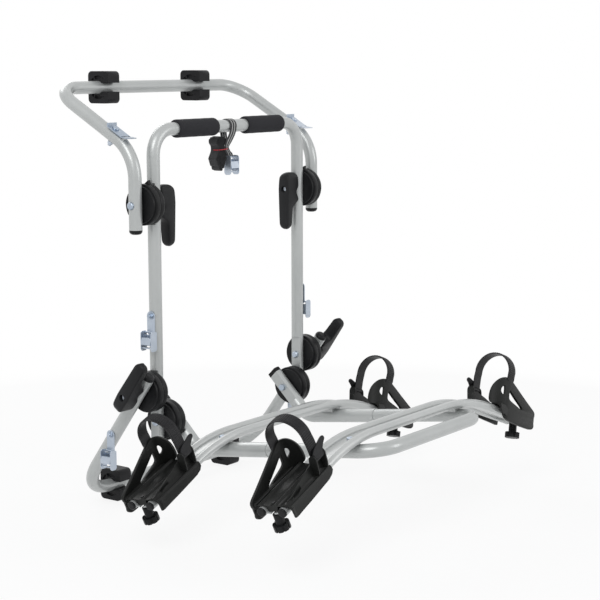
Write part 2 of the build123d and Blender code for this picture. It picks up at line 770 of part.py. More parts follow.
# Saddle plates between bars and rails, with their bolts
saddles = []
bolts = []
saddle_top = -rail_tube_d / 2 - running_gap
web_top = rail_web - rail_web_dip
with BuildPart() as rail_bolt:
    with BuildSketch(Plane.XY.offset(web_top + 2 * running_gap)):
        Circle(rail_bolt_head_d / 2)
    extrude(amount=rail_bolt_head_height)
    fillet(faces().sort_by(Axis.Z)[-1].edges(), radius=rail_bolt_head_height * dome_share)
    with BuildSketch(Plane.XY.offset(web_top + 2 * running_gap)):
        Circle(rail_bolt_d / 2)
    extrude(amount=saddle_top - rail_saddle_height / 2 - web_top - 2 * running_gap)
for name, deck in decks:
    under = bar_r if deck.origin.Y > sleeve_end_y else hoop_tube_d / 2
    half = rail_saddle_length / 2
    wedge = half * tan(rest_angle)
    bar_top = -rest_fall + saddle_top - rail_saddle_height
    foot = bar_top - under / 3
    with BuildPart() as rail_saddle:
        with BuildSketch(Plane.XZ):
            with BuildLine():
                Polyline(
                    (bar_x - half, foot),
                    (bar_x + half, foot),
                    (bar_x + half, saddle_top - rest_fall - wedge),
                    (bar_x - half, saddle_top - rest_fall + wedge),
                    close=True,
                )
            make_face()
            with Locations((bar_x, bar_top - under)):
                Circle(under + bolt_clearance, mode=Mode.SUBTRACT)
        extrude(amount=rail_saddle_depth / 2, both=True)
        with BuildSketch(Plane(rail_rest(1))):
            Circle(rail_bolt_d / 2 + bolt_clearance)
        extrude(amount=2 * overrun, both=True, mode=Mode.SUBTRACT)
    saddles.append(both_sides(rail_saddle.part).moved(deck.location))
    for side in (-1, 1):
        bolts.append(rail_bolt.part.moved(deck.location * rail_rest(side)))
keep("rail_saddles", group(saddles))
keep("rail_bolts", group(bolts))


ratchet_y = strap_arch_y + strap_arch_radius + strap_thickness + barrel_d / 2 + strap_rib_height
ratchet_z = holder_top + trough_depth + barrel_d


def holder_body():
    """The moulded wheel holder about its own frame, over a rail wing."""
    base = rail_tube_d / 2 + holder_clearance
    inner_side = rail_tube_spacing / 2 + rail_tube_d / 2 + holder_clearance
    lip = holder_half_width - holder_wall * 2
    profile = Plane(origin=(-holder_inner, 0, 0), x_dir=(0, 1, 0), z_dir=(1, 0, 0))
    length = holder_inner + holder_outer
    with BuildPart() as body:
        with BuildSketch(profile):
            with BuildLine():
                Polyline(
                    (-holder_half_width, -holder_skirt),
                    (-holder_half_width, holder_top),
                    (-lip, holder_top),
                    (-lip / 2, holder_top - trough_depth),
                    (lip / 2, holder_top - trough_depth),
                    (lip, holder_top),
                    (holder_half_width, holder_top - trough_depth / 2),
                    (holder_half_width, -holder_skirt),
                    (inner_side, -holder_skirt),
                    (inner_side, base),
                    (-inner_side, base),
                    (-inner_side, -holder_skirt),
                    close=True,
                )
            make_face()
        extrude(amount=length)
        lean = radians(apex_lean)
        wall_plane = Plane(
            origin=(0, -holder_half_width, holder_top - trough_depth),
            x_dir=(1, 0, 0),
            z_dir=(0, -cos(lean), -sin(lean)),
        )
        wall_rise = apex_height - holder_top + trough_depth
        with BuildSketch(wall_plane) as wall_face:
            with BuildLine():
                Polyline(
                    (holder_outer, 0),
                    (apex_s + apex_round, wall_rise),
                    (apex_s - apex_round, wall_rise),
                    (-holder_inner, wall_rise / 3),
                    (-holder_inner, 0),
                    close=True,
                )
            make_face()
            top_corners = wall_face.vertices().group_by(Axis.Z)[-1]
            fillet(top_corners, radius=apex_round)
            with BuildLine():
                Polyline(
                    (apex_s, wall_rise / 6),
                    (apex_s, wall_rise - apex_round * window_top_share),
                    (holder_outer / 4, wall_rise / 6),
                    close=True,
                )
            make_face(mode=Mode.SUBTRACT)
        extrude(amount=-apex_wall)
        ridge_plane = profile
        ridge_r = holder_wall / 2
        with BuildSketch(ridge_plane):
            with Locations((0, holder_top - trough_depth)):
                Circle(ridge_r)
        extrude(amount=length)
        web_slot = Plane.XY.offset(base)
        with BuildSketch(web_slot):
            with Locations((knob_s, 0)):
                Circle(knob_stem_d / 2 + bolt_clearance)
        extrude(amount=2 * holder_top, mode=Mode.SUBTRACT)
        ear_inside = ratchet_width / 2 + running_gap
        mount_y = strap_arch_radius + strap_arch_y
        with BuildSketch(Plane.XY.offset(holder_top - trough_depth)):
            with Locations((strap_s, mount_y + holder_wall)):
                Rectangle(2 * ear_inside + 2 * holder_wall, 5 * holder_wall)
        extrude(amount=2 * trough_depth)
        for side in (-1, 1):
            ear_plane = Plane(origin=(strap_s + side * ear_inside, 0, 0), x_dir=(0, 1, 0), z_dir=(1, 0, 0))
            ear_foot = holder_top + trough_depth / 2
            with BuildSketch(ear_plane):
                with Locations((ratchet_y, (ear_foot + ratchet_z) / 2)):
                    Rectangle(barrel_d * ear_share, ratchet_z - ear_foot)
                with Locations((ratchet_y, ratchet_z)):
                    Circle(barrel_d * ear_share / 2)
            extrude(amount=side * holder_wall)
        with BuildSketch(Plane(origin=(strap_s, 0, 0), x_dir=(0, 1, 0), z_dir=(1, 0, 0))):
            with Locations((ratchet_y, ratchet_z)):
                Circle(ratchet_pin_d / 2)
        extrude(amount=ear_inside + holder_wall / 2, both=True)
    return body.part


def ladder_strap():
    """The ratchet strap, arched over the tyre, with its cross ribs outside."""
    foot_left = apex_height - strap_width / 2
    foot_right = holder_top + trough_depth
    left_y = strap_arch_y - strap_arch_radius
    right_y = strap_arch_y + strap_arch_radius
    lean = radians(apex_lean)
    plane = Plane(origin=(strap_s, 0, 0), x_dir=(0, 1, 0), z_dir=(1, 0, 0))
    wall_y = -holder_half_width + (foot_left - holder_top + trough_depth) * tan(lean)
    anchor = (wall_y - strap_thickness, foot_left)
    with BuildPart() as strap:
        with BuildSketch(plane):
            with BuildLine() as path:
                Line(anchor, (left_y, strap_arch_height))
                CenterArc((strap_arch_y, strap_arch_height), strap_arch_radius, 0, 180)
                Line((right_y, strap_arch_height), (right_y, foot_right))
            trace(path.line, line_width=strap_thickness)
        extrude(amount=strap_width / 2, both=True)
        rib_count = int(pi * strap_arch_radius / strap_rib_pitch)
        with BuildSketch(plane):
            for rib in range(1, rib_count):
                angle = 180.0 * rib / rib_count
                rib_radius = strap_arch_radius + strap_thickness / 2
                rib_y = strap_arch_y + rib_radius * cos(radians(angle))
                rib_z = strap_arch_height + rib_radius * sin(radians(angle))
                with Locations(Location((rib_y, rib_z), angle)):
                    Rectangle(2 * strap_rib_height, strap_rib_pitch / 2)
        extrude(amount=strap_width / 2 - strap_rib_height, both=True)
    return strap.part


def ratchet_lever():
    """The ratchet buckle's thumb lever and its knurled barrel, on the skirt side."""
    plane = Plane(origin=(strap_s, ratchet_y, ratchet_z), x_dir=(0, 1, 0), z_dir=(1, 0, 0))
    with BuildPart() as lever:
        with BuildSketch(plane):
            Circle(barrel_d / 2)
            with PolarLocations(barrel_d / 2, ratchet_teeth):
                Circle(strap_rib_height / 2, mode=Mode.SUBTRACT)
        extrude(amount=ratchet_width / 2, both=True)
        with BuildSketch(plane.offset(-ratchet_width / 2)):
            with Locations((barrel_d * thumb_offset_share, ratchet_reach / 2)):
                SlotOverall(ratchet_reach, barrel_d * thumb_width_share, rotation=90)
        extrude(amount=ratchet_width)
        with BuildSketch(plane):
            Circle(ratchet_pin_d / 2 + bolt_clearance)
        extrude(amount=ratchet_width, both=True, mode=Mode.SUBTRACT)
    return lever.part


def clamp_knob():
    """The knob under the rail, with its stem up through the web's slot."""
    with BuildPart() as knob:
        with BuildSketch(Plane.XY.offset(-knob_drop)):
            with Locations((knob_s, 0)):
                Circle(knob_d / 2)
                with PolarLocations(knob_d / 2, knob_grip_count):
                    Circle(knob_stem_d / 4, mode=Mode.SUBTRACT)
        extrude(amount=knob_height)
        with BuildSketch(Plane.XY.offset(-knob_drop + knob_height)):
            with Locations((knob_s, 0)):
                Circle(knob_neck_d / 2)
        extrude(amount=knob_drop - knob_height - rail_tube_d / 2 - running_gap)
        with BuildSketch(Plane.XY.offset(-knob_drop + knob_height)):
            with Locations((knob_s, 0)):
                Circle(knob_stem_d / 2)
        extrude(amount=knob_drop - knob_height + holder_top - trough_depth)
    return knob.part


body = holder_body()
ladder = ladder_strap()
ratchet = ratchet_lever()
knob = clamp_knob()
for name, deck in decks:
    for end, side in (("left", -1), ("right", 1)):
        place = wing_plane(deck, side).location
        keep(f"holder_{name}_{end}", body.moved(place))
        keep(f"ladder_strap_{name}_{end}", ladder.moved(place))
        keep(f"ratchet_lever_{name}_{end}", ratchet.moved(place))
        keep(f"clamp_knob_{name}_{end}", knob.moved(place))


def clamp_lever(seat_x, facing, y, z, direction):
    """A cam lever on a hinge bolt: boss on the tube at seat_x, blade beyond it."""
    frame = Plane(origin=(seat_x, y, z), x_dir=direction, z_dir=(facing, 0, 0))
    with BuildPart() as lever:
        with BuildSketch(frame):
            with Locations(((lever_boss_long - lever_boss_short) / 2, 0)):
                RectangleRounded(
                    lever_boss_long + lever_boss_short, lever_boss_width, lever_boss_width / 3
                )
        extrude(amount=lever_boss_depth)
        with BuildSketch(frame.offset(lever_boss_depth)):
            with BuildLine():
                Polyline(
                    (-lever_short, -lever_tip_width / 2),
                    (0, -lever_blade_width / 2),
                    (lever_long, -lever_tip_width / 2),
                    (lever_long, lever_tip_width / 2),
                    (0, lever_blade_width / 2),
                    (-lever_short, lever_tip_width / 2),
                    close=True,
                )
            make_face()
            fillet(vertices().sort_by(Axis.X)[-2:], radius=lever_edge_round * 2)
            fillet(vertices().sort_by(Axis.X)[:2], radius=lever_edge_round * 2)
        extrude(amount=lever_blade_thickness)
        fillet(faces().sort_by(Axis.X)[-1 if facing > 0 else 0].edges(), radius=lever_edge_round)
        with BuildSketch(frame):
            Circle(bolt_hole_r)
        extrude(amount=2 * lever_boss_depth, mode=Mode.SUBTRACT)
        with BuildSketch(frame.offset(lever_boss_depth + lever_blade_thickness - lever_nut_recess)):
            Circle(hinge_bolt_d * lever_recess_share)
        extrude(amount=lever_boss_depth, mode=Mode.SUBTRACT)
    return lever.part


upper_seat = leg_x - tube_r - running_gap
upper_lever = clamp_lever(upper_seat, -1, 0, upper_hinge_height, (0, 0, -1))
lower_seat = arm_outer + running_gap
lower_lever = clamp_lever(lower_seat, 1, 0, lower_hinge_height, (0, -down_y, -down_z))
keep("upper_lever_right", upper_lever)
keep("upper_lever_left", mirror(upper_lever, about=Plane.YZ))
keep("lower_lever_right", lower_lever)
keep("lower_lever_left", mirror(lower_lever, about=Plane.YZ))


def buckle_bolt(face_x, y, z):
    """The small bolt that a buckle's link plate hangs on, with its nut and washer."""
    with BuildPart() as bolt:
        with BuildSketch(along_x(face_x, y, z)):
            Circle(buckle_bolt_d / 2)
        extrude(amount=link_thickness + 3 * running_gap + buckle_bolt_d)
        with BuildSketch(along_x(face_x, y, z)):
            Circle(buckle_bolt_d / 2)
        extrude(amount=-frame_wall - buckle_bolt_d)
        with BuildSketch(along_x(face_x, y, z)):
            Circle(buckle_bolt_d)
        extrude(amount=running_gap)
        nut_face = face_x + 3 * running_gap + link_thickness
        with BuildSketch(along_x(nut_face, y, z)):
            Circle(buckle_bolt_d)
        extrude(amount=link_thickness / 2)
        with BuildSketch(along_x(nut_face + link_thickness / 2, y, z)):
            RegularPolygon(buckle_bolt_d * hex_share, 6)
        extrude(amount=buckle_bolt_d / 2)
    return bolt.part


cam_pivot_x = buckle_depth * cam_pivot_depth_share
cam_pivot_z = -link_length - buckle_length * cam_pivot_drop_share


def buckle_frame(with_link):
    """A cam buckle about its hanging point: x outward, y across the webbing, z up."""
    top = -link_length
    foot = top - buckle_length
    half = buckle_width / 2
    with BuildPart() as frame:
        if with_link:
            with BuildSketch(Plane.YZ):
                with Locations((0, top / 2)):
                    SlotOverall(link_length + link_width, link_width, rotation=90)
                Circle(buckle_bolt_d / 2 + bolt_clearance, mode=Mode.SUBTRACT)
            extrude(amount=link_thickness)
        for side in (-1, 1):
            with BuildSketch(Plane.XZ.offset(side * (half - buckle_plate / 2))):
                with Locations((buckle_depth / 2, (top + foot) / 2)):
                    RectangleRounded(buckle_depth, buckle_length, buckle_depth / 3)
            extrude(amount=buckle_plate / 2, both=True)
        with BuildSketch(Plane.YZ):
            with Locations((0, (top + foot) / 2)):
                Rectangle(buckle_width - buckle_plate, buckle_length - buckle_depth)
        extrude(amount=buckle_plate)
        for x, z in (
            (link_thickness, top - buckle_pin_d),
            (cam_pivot_x, cam_pivot_z),
            (buckle_depth - buckle_pin_d, foot + buckle_pin_d * 2),
        ):
            with BuildSketch(Plane.XZ):
                with Locations((x, z)):
                    Circle(buckle_pin_d / 2)
            extrude(amount=half, both=True)
    return frame.part


def buckle_cam():
    """The cam lever between the cheeks: a toothed barrel with a thumb plate."""
    pivot_z = cam_pivot_z
    pivot_x = cam_pivot_x
    inside = buckle_width / 2 - buckle_plate - running_gap
    with BuildPart() as cam:
        with BuildSketch(Plane.XZ):
            with Locations((pivot_x, pivot_z)):
                Circle(cam_d / 2)
            with BuildLine():
                outline = [(pivot_x + cam_d * out, pivot_z + cam_d * up) for out, up in cam_plate_shares]
                Polyline(*outline, close=True)
            make_face()
            with Locations((pivot_x, pivot_z)):
                Circle(buckle_pin_d / 2 + bolt_clearance, mode=Mode.SUBTRACT)
        extrude(amount=inside, both=True)
    return cam.part


frame_linked = buckle_frame(True)
frame_plain = buckle_frame(False)
cam = buckle_cam()
hang_gap = running_gap * 2
spots = (
    ("leg", leg_x + tube_r, 0, leg_buckle_height),
    ("arm", arm_outer, arm_buckle_y, arm_buckle_z),
)
leg_bolts = buckle_bolt(leg_x + tube_r, 0, leg_buckle_height)
arm_bolts = buckle_bolt(arm_outer, arm_buckle_y, arm_buckle_z)
keep("leg_buckle_bolts", both_sides(leg_bolts))
keep("arm_buckle_bolts", both_sides(arm_bolts))
for name, x, y, z in spots:
    right = Location((x + hang_gap, y, z))
    for kind, piece in (("buckle", frame_linked), ("cam", cam)):
        placed = piece.moved(right)
        keep(f"{name}_{kind}_right", placed)
        keep(f"{name}_{kind}_left", mirror(placed, about=Plane.YZ))

# Hanging strap: loop on the bare bar, buckle below it and the folded spare webbing
buckle_turn = Location((strap_x, 0, main_buckle_height + link_length), (0, 0, -90))
main_frame_piece = frame_plain.moved(buckle_turn)
main_cam_piece = cam.moved(buckle_turn)
keep("main_buckle_frame", main_frame_piece)
keep("main_cam", main_cam_piece)
loop_r = tube_r + webbing_thickness / 2
pin_y = -link_thickness
pin_z = main_buckle_height - buckle_pin_d
pin_loop_r = buckle_pin_d / 2 + webbing_thickness / 2
with BuildPart() as strap_loop:
    with BuildSketch(along_x(strap_x, 0, 0)):
        with Locations((0, top_bar_height)):
            Circle(loop_r + webbing_thickness / 2)
        with Locations((pin_y, pin_z)):
            Circle(pin_loop_r + webbing_thickness / 2)
        make_hull()
        with Locations((0, top_bar_height)):
            Circle(tube_r, mode=Mode.SUBTRACT)
        with Locations((pin_y, pin_z)):
            Circle(buckle_pin_d / 2 + bolt_clearance, mode=Mode.SUBTRACT)
    extrude(amount=webbing_width / 2, both=True)
keep("main_strap_loop", strap_loop.part)

hank_rows = []
for layer in range(hank_layers):
    place_in_stack = layer - (hank_layers - 1) / 2
    lobe_x = place_in_stack * hank_pitch_lobe
    waist_x = place_in_stack * hank_pitch_waist
    column = [(lobe_x, hank_top_height), (waist_x, hank_waist_height), (lobe_x, hank_foot_height)]
    if layer % 2:
        column.reverse()
    hank_rows.append(column)
with BuildPart() as hank:
    with BuildSketch(Plane.XZ):
        with BuildLine() as fold:
            for layer, column in enumerate(hank_rows):
                Polyline(*column)
                if layer:
                    previous = hank_rows[layer - 1][-1]
                    turn = previous[1] > hank_waist_height
                    swing = hank_pitch_lobe / 2 if turn else -hank_pitch_lobe / 2
                    middle = ((previous[0] + column[0][0]) / 2, previous[1] + swing)
                    ThreePointArc(previous, middle, column[0])
        trace(fold.line, line_width=webbing_thickness)
    extrude(amount=webbing_width / 2, both=True)
keep("main_strap_hank", hank.part.moved(Location((hank_x, 0, 0))))
fold_wire = Wire(fold.edges())
fold_steps = int(fold_wire.length / (webbing_thickness / 2))
fold_points = [fold_wire @ (step / fold_steps) for step in range(fold_steps + 1)]
skipped = 4
least_gap = min(
    (first - second).length - webbing_thickness
    for index, first in enumerate(fold_points)
    for second in fold_points[index + skipped :]
)
print("least gap of the folded webbing to itself, mm:", round(least_gap, 3))

# Set the whole rack on the origin: middle of its box, bottom at zero
boxes = [part.bounding_box() for part in pieces.values()]
front = min(box.min.Y for box in boxes)
back = max(box.max.Y for box in boxes)
bottom = min(box.min.Z for box in boxes)
top = max(box.max.Z for box in boxes)
half_width = max(box.max.X for box in boxes)
shift = Location((0, -(front + back) / 2, -bottom))
os.makedirs("parts", exist_ok=True)
for name, part in pieces.items():
    placed = part.moved(shift)
    placed.label = name
    export_step(placed, f"parts/{name}.step")
print("shift", shift.position)
print("box", 2 * half_width, back - front, top - bottom)
for name, deck in decks:
    print("deck", name, deck.origin, "wing", wing_plane(deck, 1).origin, wing_plane(deck, 1).x_dir)
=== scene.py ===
import json
import math
import bmesh
import bpy
from mathutils import Matrix, Vector


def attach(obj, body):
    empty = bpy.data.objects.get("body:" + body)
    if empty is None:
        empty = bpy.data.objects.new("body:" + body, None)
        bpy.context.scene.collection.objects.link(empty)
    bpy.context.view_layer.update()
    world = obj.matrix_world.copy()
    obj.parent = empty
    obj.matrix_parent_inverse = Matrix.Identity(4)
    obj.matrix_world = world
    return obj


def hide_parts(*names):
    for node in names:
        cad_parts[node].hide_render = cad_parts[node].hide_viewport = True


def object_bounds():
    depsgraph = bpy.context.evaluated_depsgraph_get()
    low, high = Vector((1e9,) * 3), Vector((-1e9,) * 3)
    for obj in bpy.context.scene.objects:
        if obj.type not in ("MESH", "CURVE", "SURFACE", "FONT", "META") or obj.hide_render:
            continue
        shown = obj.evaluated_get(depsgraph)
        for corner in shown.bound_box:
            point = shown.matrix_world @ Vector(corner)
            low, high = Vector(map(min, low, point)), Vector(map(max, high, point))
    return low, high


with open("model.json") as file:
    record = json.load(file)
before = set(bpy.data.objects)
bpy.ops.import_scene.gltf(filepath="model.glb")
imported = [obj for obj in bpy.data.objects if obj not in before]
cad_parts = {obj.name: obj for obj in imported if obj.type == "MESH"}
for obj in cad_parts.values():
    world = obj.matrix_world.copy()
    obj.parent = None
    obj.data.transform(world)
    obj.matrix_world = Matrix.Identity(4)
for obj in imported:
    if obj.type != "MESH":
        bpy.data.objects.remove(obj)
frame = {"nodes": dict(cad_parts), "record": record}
cad_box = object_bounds()
MM = 0.001

# Places of the CAD model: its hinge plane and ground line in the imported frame
LEG_PLANE_Y = 158.25
GROUND_DROP = 0.642


def place(x, y, z):
    """A point of the drawing, in millimetres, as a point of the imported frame."""
    return Vector((x, y + LEG_PLANE_Y, z - GROUND_DROP)) * MM


# Camera and studio, in metres
CAMERA_SPOT = (-2.94107, -2.21316, 1.04897)
CAMERA_RIGHT = Vector((0.59211, -0.80585, -0.00255))
CAMERA_UP = Vector((0.12224, 0.08669, 0.98871))
CAMERA_LOOK = Vector((0.79653, 0.58574, -0.14983))
CAMERA_LENS = 94.66
SENSOR_WIDTH = 36.0
CLIP_RANGE = (0.05, 60.0)
# name, place, what it shines on, size, power
LAMPS = (
    ("key_lamp", (-3.2, -1.2, 3.4), (0.0, 0.0, 0.5), (2.2, 2.2), 62.0),
    ("side_lamp", (1.6, -3.6, 1.9), (0.0, -0.1, 0.4), (1.8, 1.8), 26.0),
    ("back_lamp", (1.2, 3.2, 2.8), (0.0, 0.1, 0.5), (2.6, 1.6), 34.0),
)
WHITE = (1.0, 1.0, 1.0, 1.0)
FILL_TINT = (0.97, 0.985, 1.0, 1.0)
FILL_STRENGTH = 0.55
FLOOR_TINT = (0.94, 0.94, 0.94, 1.0)
FLOOR_R = 7.0
FLOOR_DROP = 0.0005
FLOOR_GLOW = 0.86
FADE_START = 0.75
FADE_END = 1.9


def make_camera():
    """The camera of the photograph, fitted to the rack's own edges."""
    data = bpy.data.cameras.new("rack_camera")
    data.lens = CAMERA_LENS
    data.sensor_width = SENSOR_WIDTH
    data.clip_start, data.clip_end = CLIP_RANGE
    camera = bpy.data.objects.new("rack_camera", data)
    bpy.context.scene.collection.objects.link(camera)
    turn = Matrix((CAMERA_RIGHT, CAMERA_UP, -CAMERA_LOOK)).transposed()
    camera.matrix_world = Matrix.Translation(CAMERA_SPOT) @ turn.to_4x4()
    bpy.context.scene.camera = camera


def soft_lamp(name, spot, aim, size, power):
    """A large square lamp turned to what it shines on."""
    data = bpy.data.lights.new(name, "AREA")
    data.shape = "RECTANGLE"
    data.size, data.size_y = size
    data.energy = power
    lamp = bpy.data.objects.new(name, data)
    bpy.context.scene.collection.objects.link(lamp)
    lamp.location = spot
    lamp.rotation_euler = (Vector(aim) - Vector(spot)).to_track_quat("-Z", "Y").to_euler()


def seen_rays(tree):
    """The ray node, and a share of one for rays from the camera or a mirror."""
    rays = tree.nodes.new("ShaderNodeLightPath")
    return rays, math_node(tree, "MAXIMUM", rays.outputs["Is Camera Ray"], rays.outputs["Is Glossy Ray"])


def background(tree, colour, strength):
    """A sky of one colour."""
    node = tree.nodes.new("ShaderNodeBackground")
    node.inputs["Color"].default_value = colour
    node.inputs["Strength"].default_value = strength
    return node.outputs[0]


def mixed_output(tree, share, first, second, kind):
    """Two shaders mixed by a share, as the output of the tree."""
    mix = tree.nodes.new("ShaderNodeMixShader")
    for socket, value in zip(mix.inputs, (share, first, second)):
        tree.links.new(value, socket)
    out = tree.nodes.new(kind)
    tree.links.new(mix.outputs[0], out.inputs["Surface"])


def make_world():
    """White to the camera, to mirrors and through glass, and a weaker fill for the rest."""
    world = bpy.data.worlds.new("white_room")
    bpy.context.scene.world = world
    world.use_nodes = True
    tree = world.node_tree
    tree.nodes.clear()
    rays, seen = seen_rays(tree)
    through = math_node(tree, "MAXIMUM", seen, rays.outputs["Is Transmission Ray"])
    fill = background(tree, FILL_TINT, FILL_STRENGTH)
    white = background(tree, WHITE, 1.0)
    mixed_output(tree, through, fill, white, "ShaderNodeOutputWorld")


def floor_material():
    """Matt near the rack, and glowing white to the camera further out."""
    mat = bpy.data.materials.new("pale_floor")
    mat.use_nodes = True
    tree = mat.node_tree
    tree.nodes.clear()
    spot = tree.nodes.new("ShaderNodeTexCoord")
    length = tree.nodes.new("ShaderNodeVectorMath")
    length.operation = "LENGTH"
    tree.links.new(spot.outputs["Object"], length.inputs[0])
    fade = tree.nodes.new("ShaderNodeMapRange")
    fade.interpolation_type = "SMOOTHSTEP"
    fade.inputs["From Min"].default_value = FADE_START
    fade.inputs["From Max"].default_value = FADE_END
    tree.links.new(length.outputs["Value"], fade.inputs["Value"])
    cloth = tree.nodes.new("ShaderNodeBsdfDiffuse")
    cloth.inputs["Color"].default_value = FLOOR_TINT
    glow = tree.nodes.new("ShaderNodeEmission")
    glow.inputs["Color"].default_value = WHITE
    _, seen = seen_rays(tree)
    least = math_node(tree, "MAXIMUM", fade.outputs["Result"], FLOOR_GLOW)
    share = math_node(tree, "MULTIPLY", least, seen)
    mixed_output(tree, share, cloth.outputs[0], glow.outputs[0], "ShaderNodeOutputMaterial")
    return mat


def make_floor():
    """A pale floor that keeps the rack's soft shadow and fades into the white room."""
    bm = bmesh.new()
    bmesh.ops.create_circle(bm, cap_ends=True, segments=96, radius=FLOOR_R)
    mesh = bpy.data.meshes.new("studio_floor")
    bm.to_mesh(mesh)
    bm.free()
    floor = bpy.data.objects.new("studio_floor", mesh)
    bpy.context.scene.collection.objects.link(floor)
    floor.location.z = cad_box[0].z - FLOOR_DROP
    mesh.materials.append(floor_material())


# Shared shader groups
DRIFT_SCALE = 9.0
SCUFF_SCALE = 46.0
YARNS_ACROSS = 15
PICKS_PER_METRE = 900
# shares of the strap width: a white line off the middle, its half width, and where it has faded
LINE_OFFSET = 0.17
LINE_HALF = 0.025
LINE_FADE = 0.04


def new_group(name, inputs, outputs):
    """A shader group with named sockets, and its first and last node."""
    tree = bpy.data.node_groups.new(name, "ShaderNodeTree")
    for label, kind, value in inputs:
        socket = tree.interface.new_socket(name=label, in_out="INPUT", socket_type=kind)
        if value is not None:
            socket.default_value = value
    for label, kind in outputs:
        tree.interface.new_socket(name=label, in_out="OUTPUT", socket_type=kind)
    return tree, tree.nodes.new("NodeGroupInput"), tree.nodes.new("NodeGroupOutput")


def noise_node(tree, vector, scale, detail, rough=0.55):
    node = tree.nodes.new("ShaderNodeTexNoise")
    tree.links.new(vector, node.inputs["Vector"])
    if isinstance(scale, float):
        node.inputs["Scale"].default_value = scale
    else:
        tree.links.new(scale, node.inputs["Scale"])
    node.inputs["Detail"].default_value = detail
    node.inputs["Roughness"].default_value = rough
    return node.outputs["Fac"]


def range_node(tree, value, low, high, to_low, to_high):
    """A value carried from one range to another; each limit is a number or a socket."""
    node = tree.nodes.new("ShaderNodeMapRange")
    tree.links.new(value, node.inputs["Value"])
    limits = (("From Min", low), ("From Max", high), ("To Min", to_low), ("To Max", to_high))
    for socket, number in limits:
        if isinstance(number, float):
            node.inputs[socket].default_value = number
        else:
            tree.links.new(number, node.inputs[socket])
    return node.outputs["Result"]


def math_node(tree, operation, a, b):
    """One operation on two values, each a number or a socket."""
    node = tree.nodes.new("ShaderNodeMath")
    node.operation = operation
    for socket, value in zip(node.inputs, (a, b)):
        if isinstance(value, float):
            socket.default_value = value
        else:
            tree.links.new(value, socket)
    return node.outputs[0]


def mix_node(tree, share, a, b):
    node = tree.nodes.new("ShaderNodeMix")
    node.data_type = "RGBA"
    tree.links.new(share, node.inputs["Factor"])
    for socket, value in (("A", a), ("B", b)):
        target = [s for s in node.inputs if s.name == socket and s.type == "RGBA"][0]
        if isinstance(value, tuple):
            target.default_value = value
        else:
            tree.links.new(value, target)
    return [s for s in node.outputs if s.type == "RGBA"][0]


def grain_group():
    """Fine moulded or sprayed grain with slow tonal drift and a few scuffs."""
    tree, start, end = new_group(
        "surface_grain",
        [
            ("Base", "NodeSocketColor", (0.5, 0.5, 0.5, 1.0)),
            ("Worn", "NodeSocketColor", (0.6, 0.6, 0.6, 1.0)),
            ("Grain scale", "NodeSocketFloat", 900.0),
            ("Drift", "NodeSocketFloat", 0.2),
            ("Scuffs", "NodeSocketFloat", 0.2),
            ("Rough low", "NodeSocketFloat", 0.3),
            ("Rough high", "NodeSocketFloat", 0.45),
        ],
        [("Color", "NodeSocketColor"), ("Roughness", "NodeSocketFloat"), ("Height", "NodeSocketFloat")],
    )
    where = tree.nodes.new("ShaderNodeTexCoord").outputs["Object"]
    slow = noise_node(tree, where, DRIFT_SCALE, 3.0)
    fine = noise_node(tree, where, start.outputs["Grain scale"], 2.0)
    scuff = noise_node(tree, where, SCUFF_SCALE, 6.0, 0.7)
    patches = range_node(tree, slow, 0.35, 0.65, 0.0, 1.0)
    drift = math_node(tree, "MULTIPLY", patches, start.outputs["Drift"])
    streaks = range_node(tree, scuff, 0.62, 0.70, 0.0, 1.0)
    marks = math_node(tree, "MULTIPLY", streaks, start.outputs["Scuffs"])
    share = math_node(tree, "MAXIMUM", drift, marks)
    colour = mix_node(tree, share, start.outputs["Base"], start.outputs["Worn"])
    tree.links.new(colour, end.inputs["Color"])
    rough = range_node(tree, slow, 0.3, 0.7, start.outputs["Rough low"], start.outputs["Rough high"])
    tree.links.new(rough, end.inputs["Roughness"])
    height = math_node(tree, "SUBTRACT", fine, math_node(tree, "MULTIPLY", marks, 0.6))
    tree.links.new(height, end.inputs["Height"])
    return tree


def weave_group():
    """Plain weave across a strap, with painted shade between the yarns, from its own UV map: U across, V
    along in metres.
    """
    tree, start, end = new_group(
        "strap_weave",
        [
            ("Yarn", "NodeSocketColor", (0.02, 0.02, 0.022, 1.0)),
            ("Line", "NodeSocketColor", (0.8, 0.8, 0.78, 1.0)),
            ("Line share", "NodeSocketFloat", 1.0),
        ],
        [("Color", "NodeSocketColor"), ("Height", "NodeSocketFloat")],
    )
    uv = tree.nodes.new("ShaderNodeTexCoord").outputs["UV"]
    split = tree.nodes.new("ShaderNodeSeparateXYZ")
    tree.links.new(uv, split.inputs[0])
    across, along = split.outputs["X"], split.outputs["Y"]
    warp = math_node(tree, "SINE", math_node(tree, "MULTIPLY", across, 2 * math.pi * YARNS_ACROSS), 0.0)
    weft = math_node(tree, "SINE", math_node(tree, "MULTIPLY", along, 2 * math.pi * PICKS_PER_METRE), 0.0)
    cross = math_node(tree, "MULTIPLY", warp, weft)
    tree.links.new(math_node(tree, "MULTIPLY_ADD", cross, 0.5), end.inputs["Height"])
    # two thin white lines, about a third of the width in from each edge
    off = math_node(tree, "ABSOLUTE", math_node(tree, "SUBTRACT", across, 0.5), 0.0)
    near = math_node(tree, "ABSOLUTE", math_node(tree, "SUBTRACT", off, LINE_OFFSET), 0.0)
    line = range_node(tree, near, LINE_HALF, LINE_FADE, 1.0, 0.0)
    line = math_node(tree, "MULTIPLY", line, start.outputs["Line share"])
    # painted shade between the yarns: the low points of the weave are mixed towards near black
    shade = range_node(tree, cross, -1.0, 1.0, 0.65, 1.0)
    yarn = mix_node(tree, line, start.outputs["Yarn"], start.outputs["Line"])
    shaded_yarn = mix_node(tree, shade, (0.004, 0.004, 0.005, 1.0), yarn)
    tree.links.new(shaded_yarn, end.inputs["Color"])
    return tree


def base_material(name):
    mat = bpy.data.materials.new(name)
    mat.use_nodes = True
    shader = mat.node_tree.nodes["Principled BSDF"]
    return mat, mat.node_tree, shader


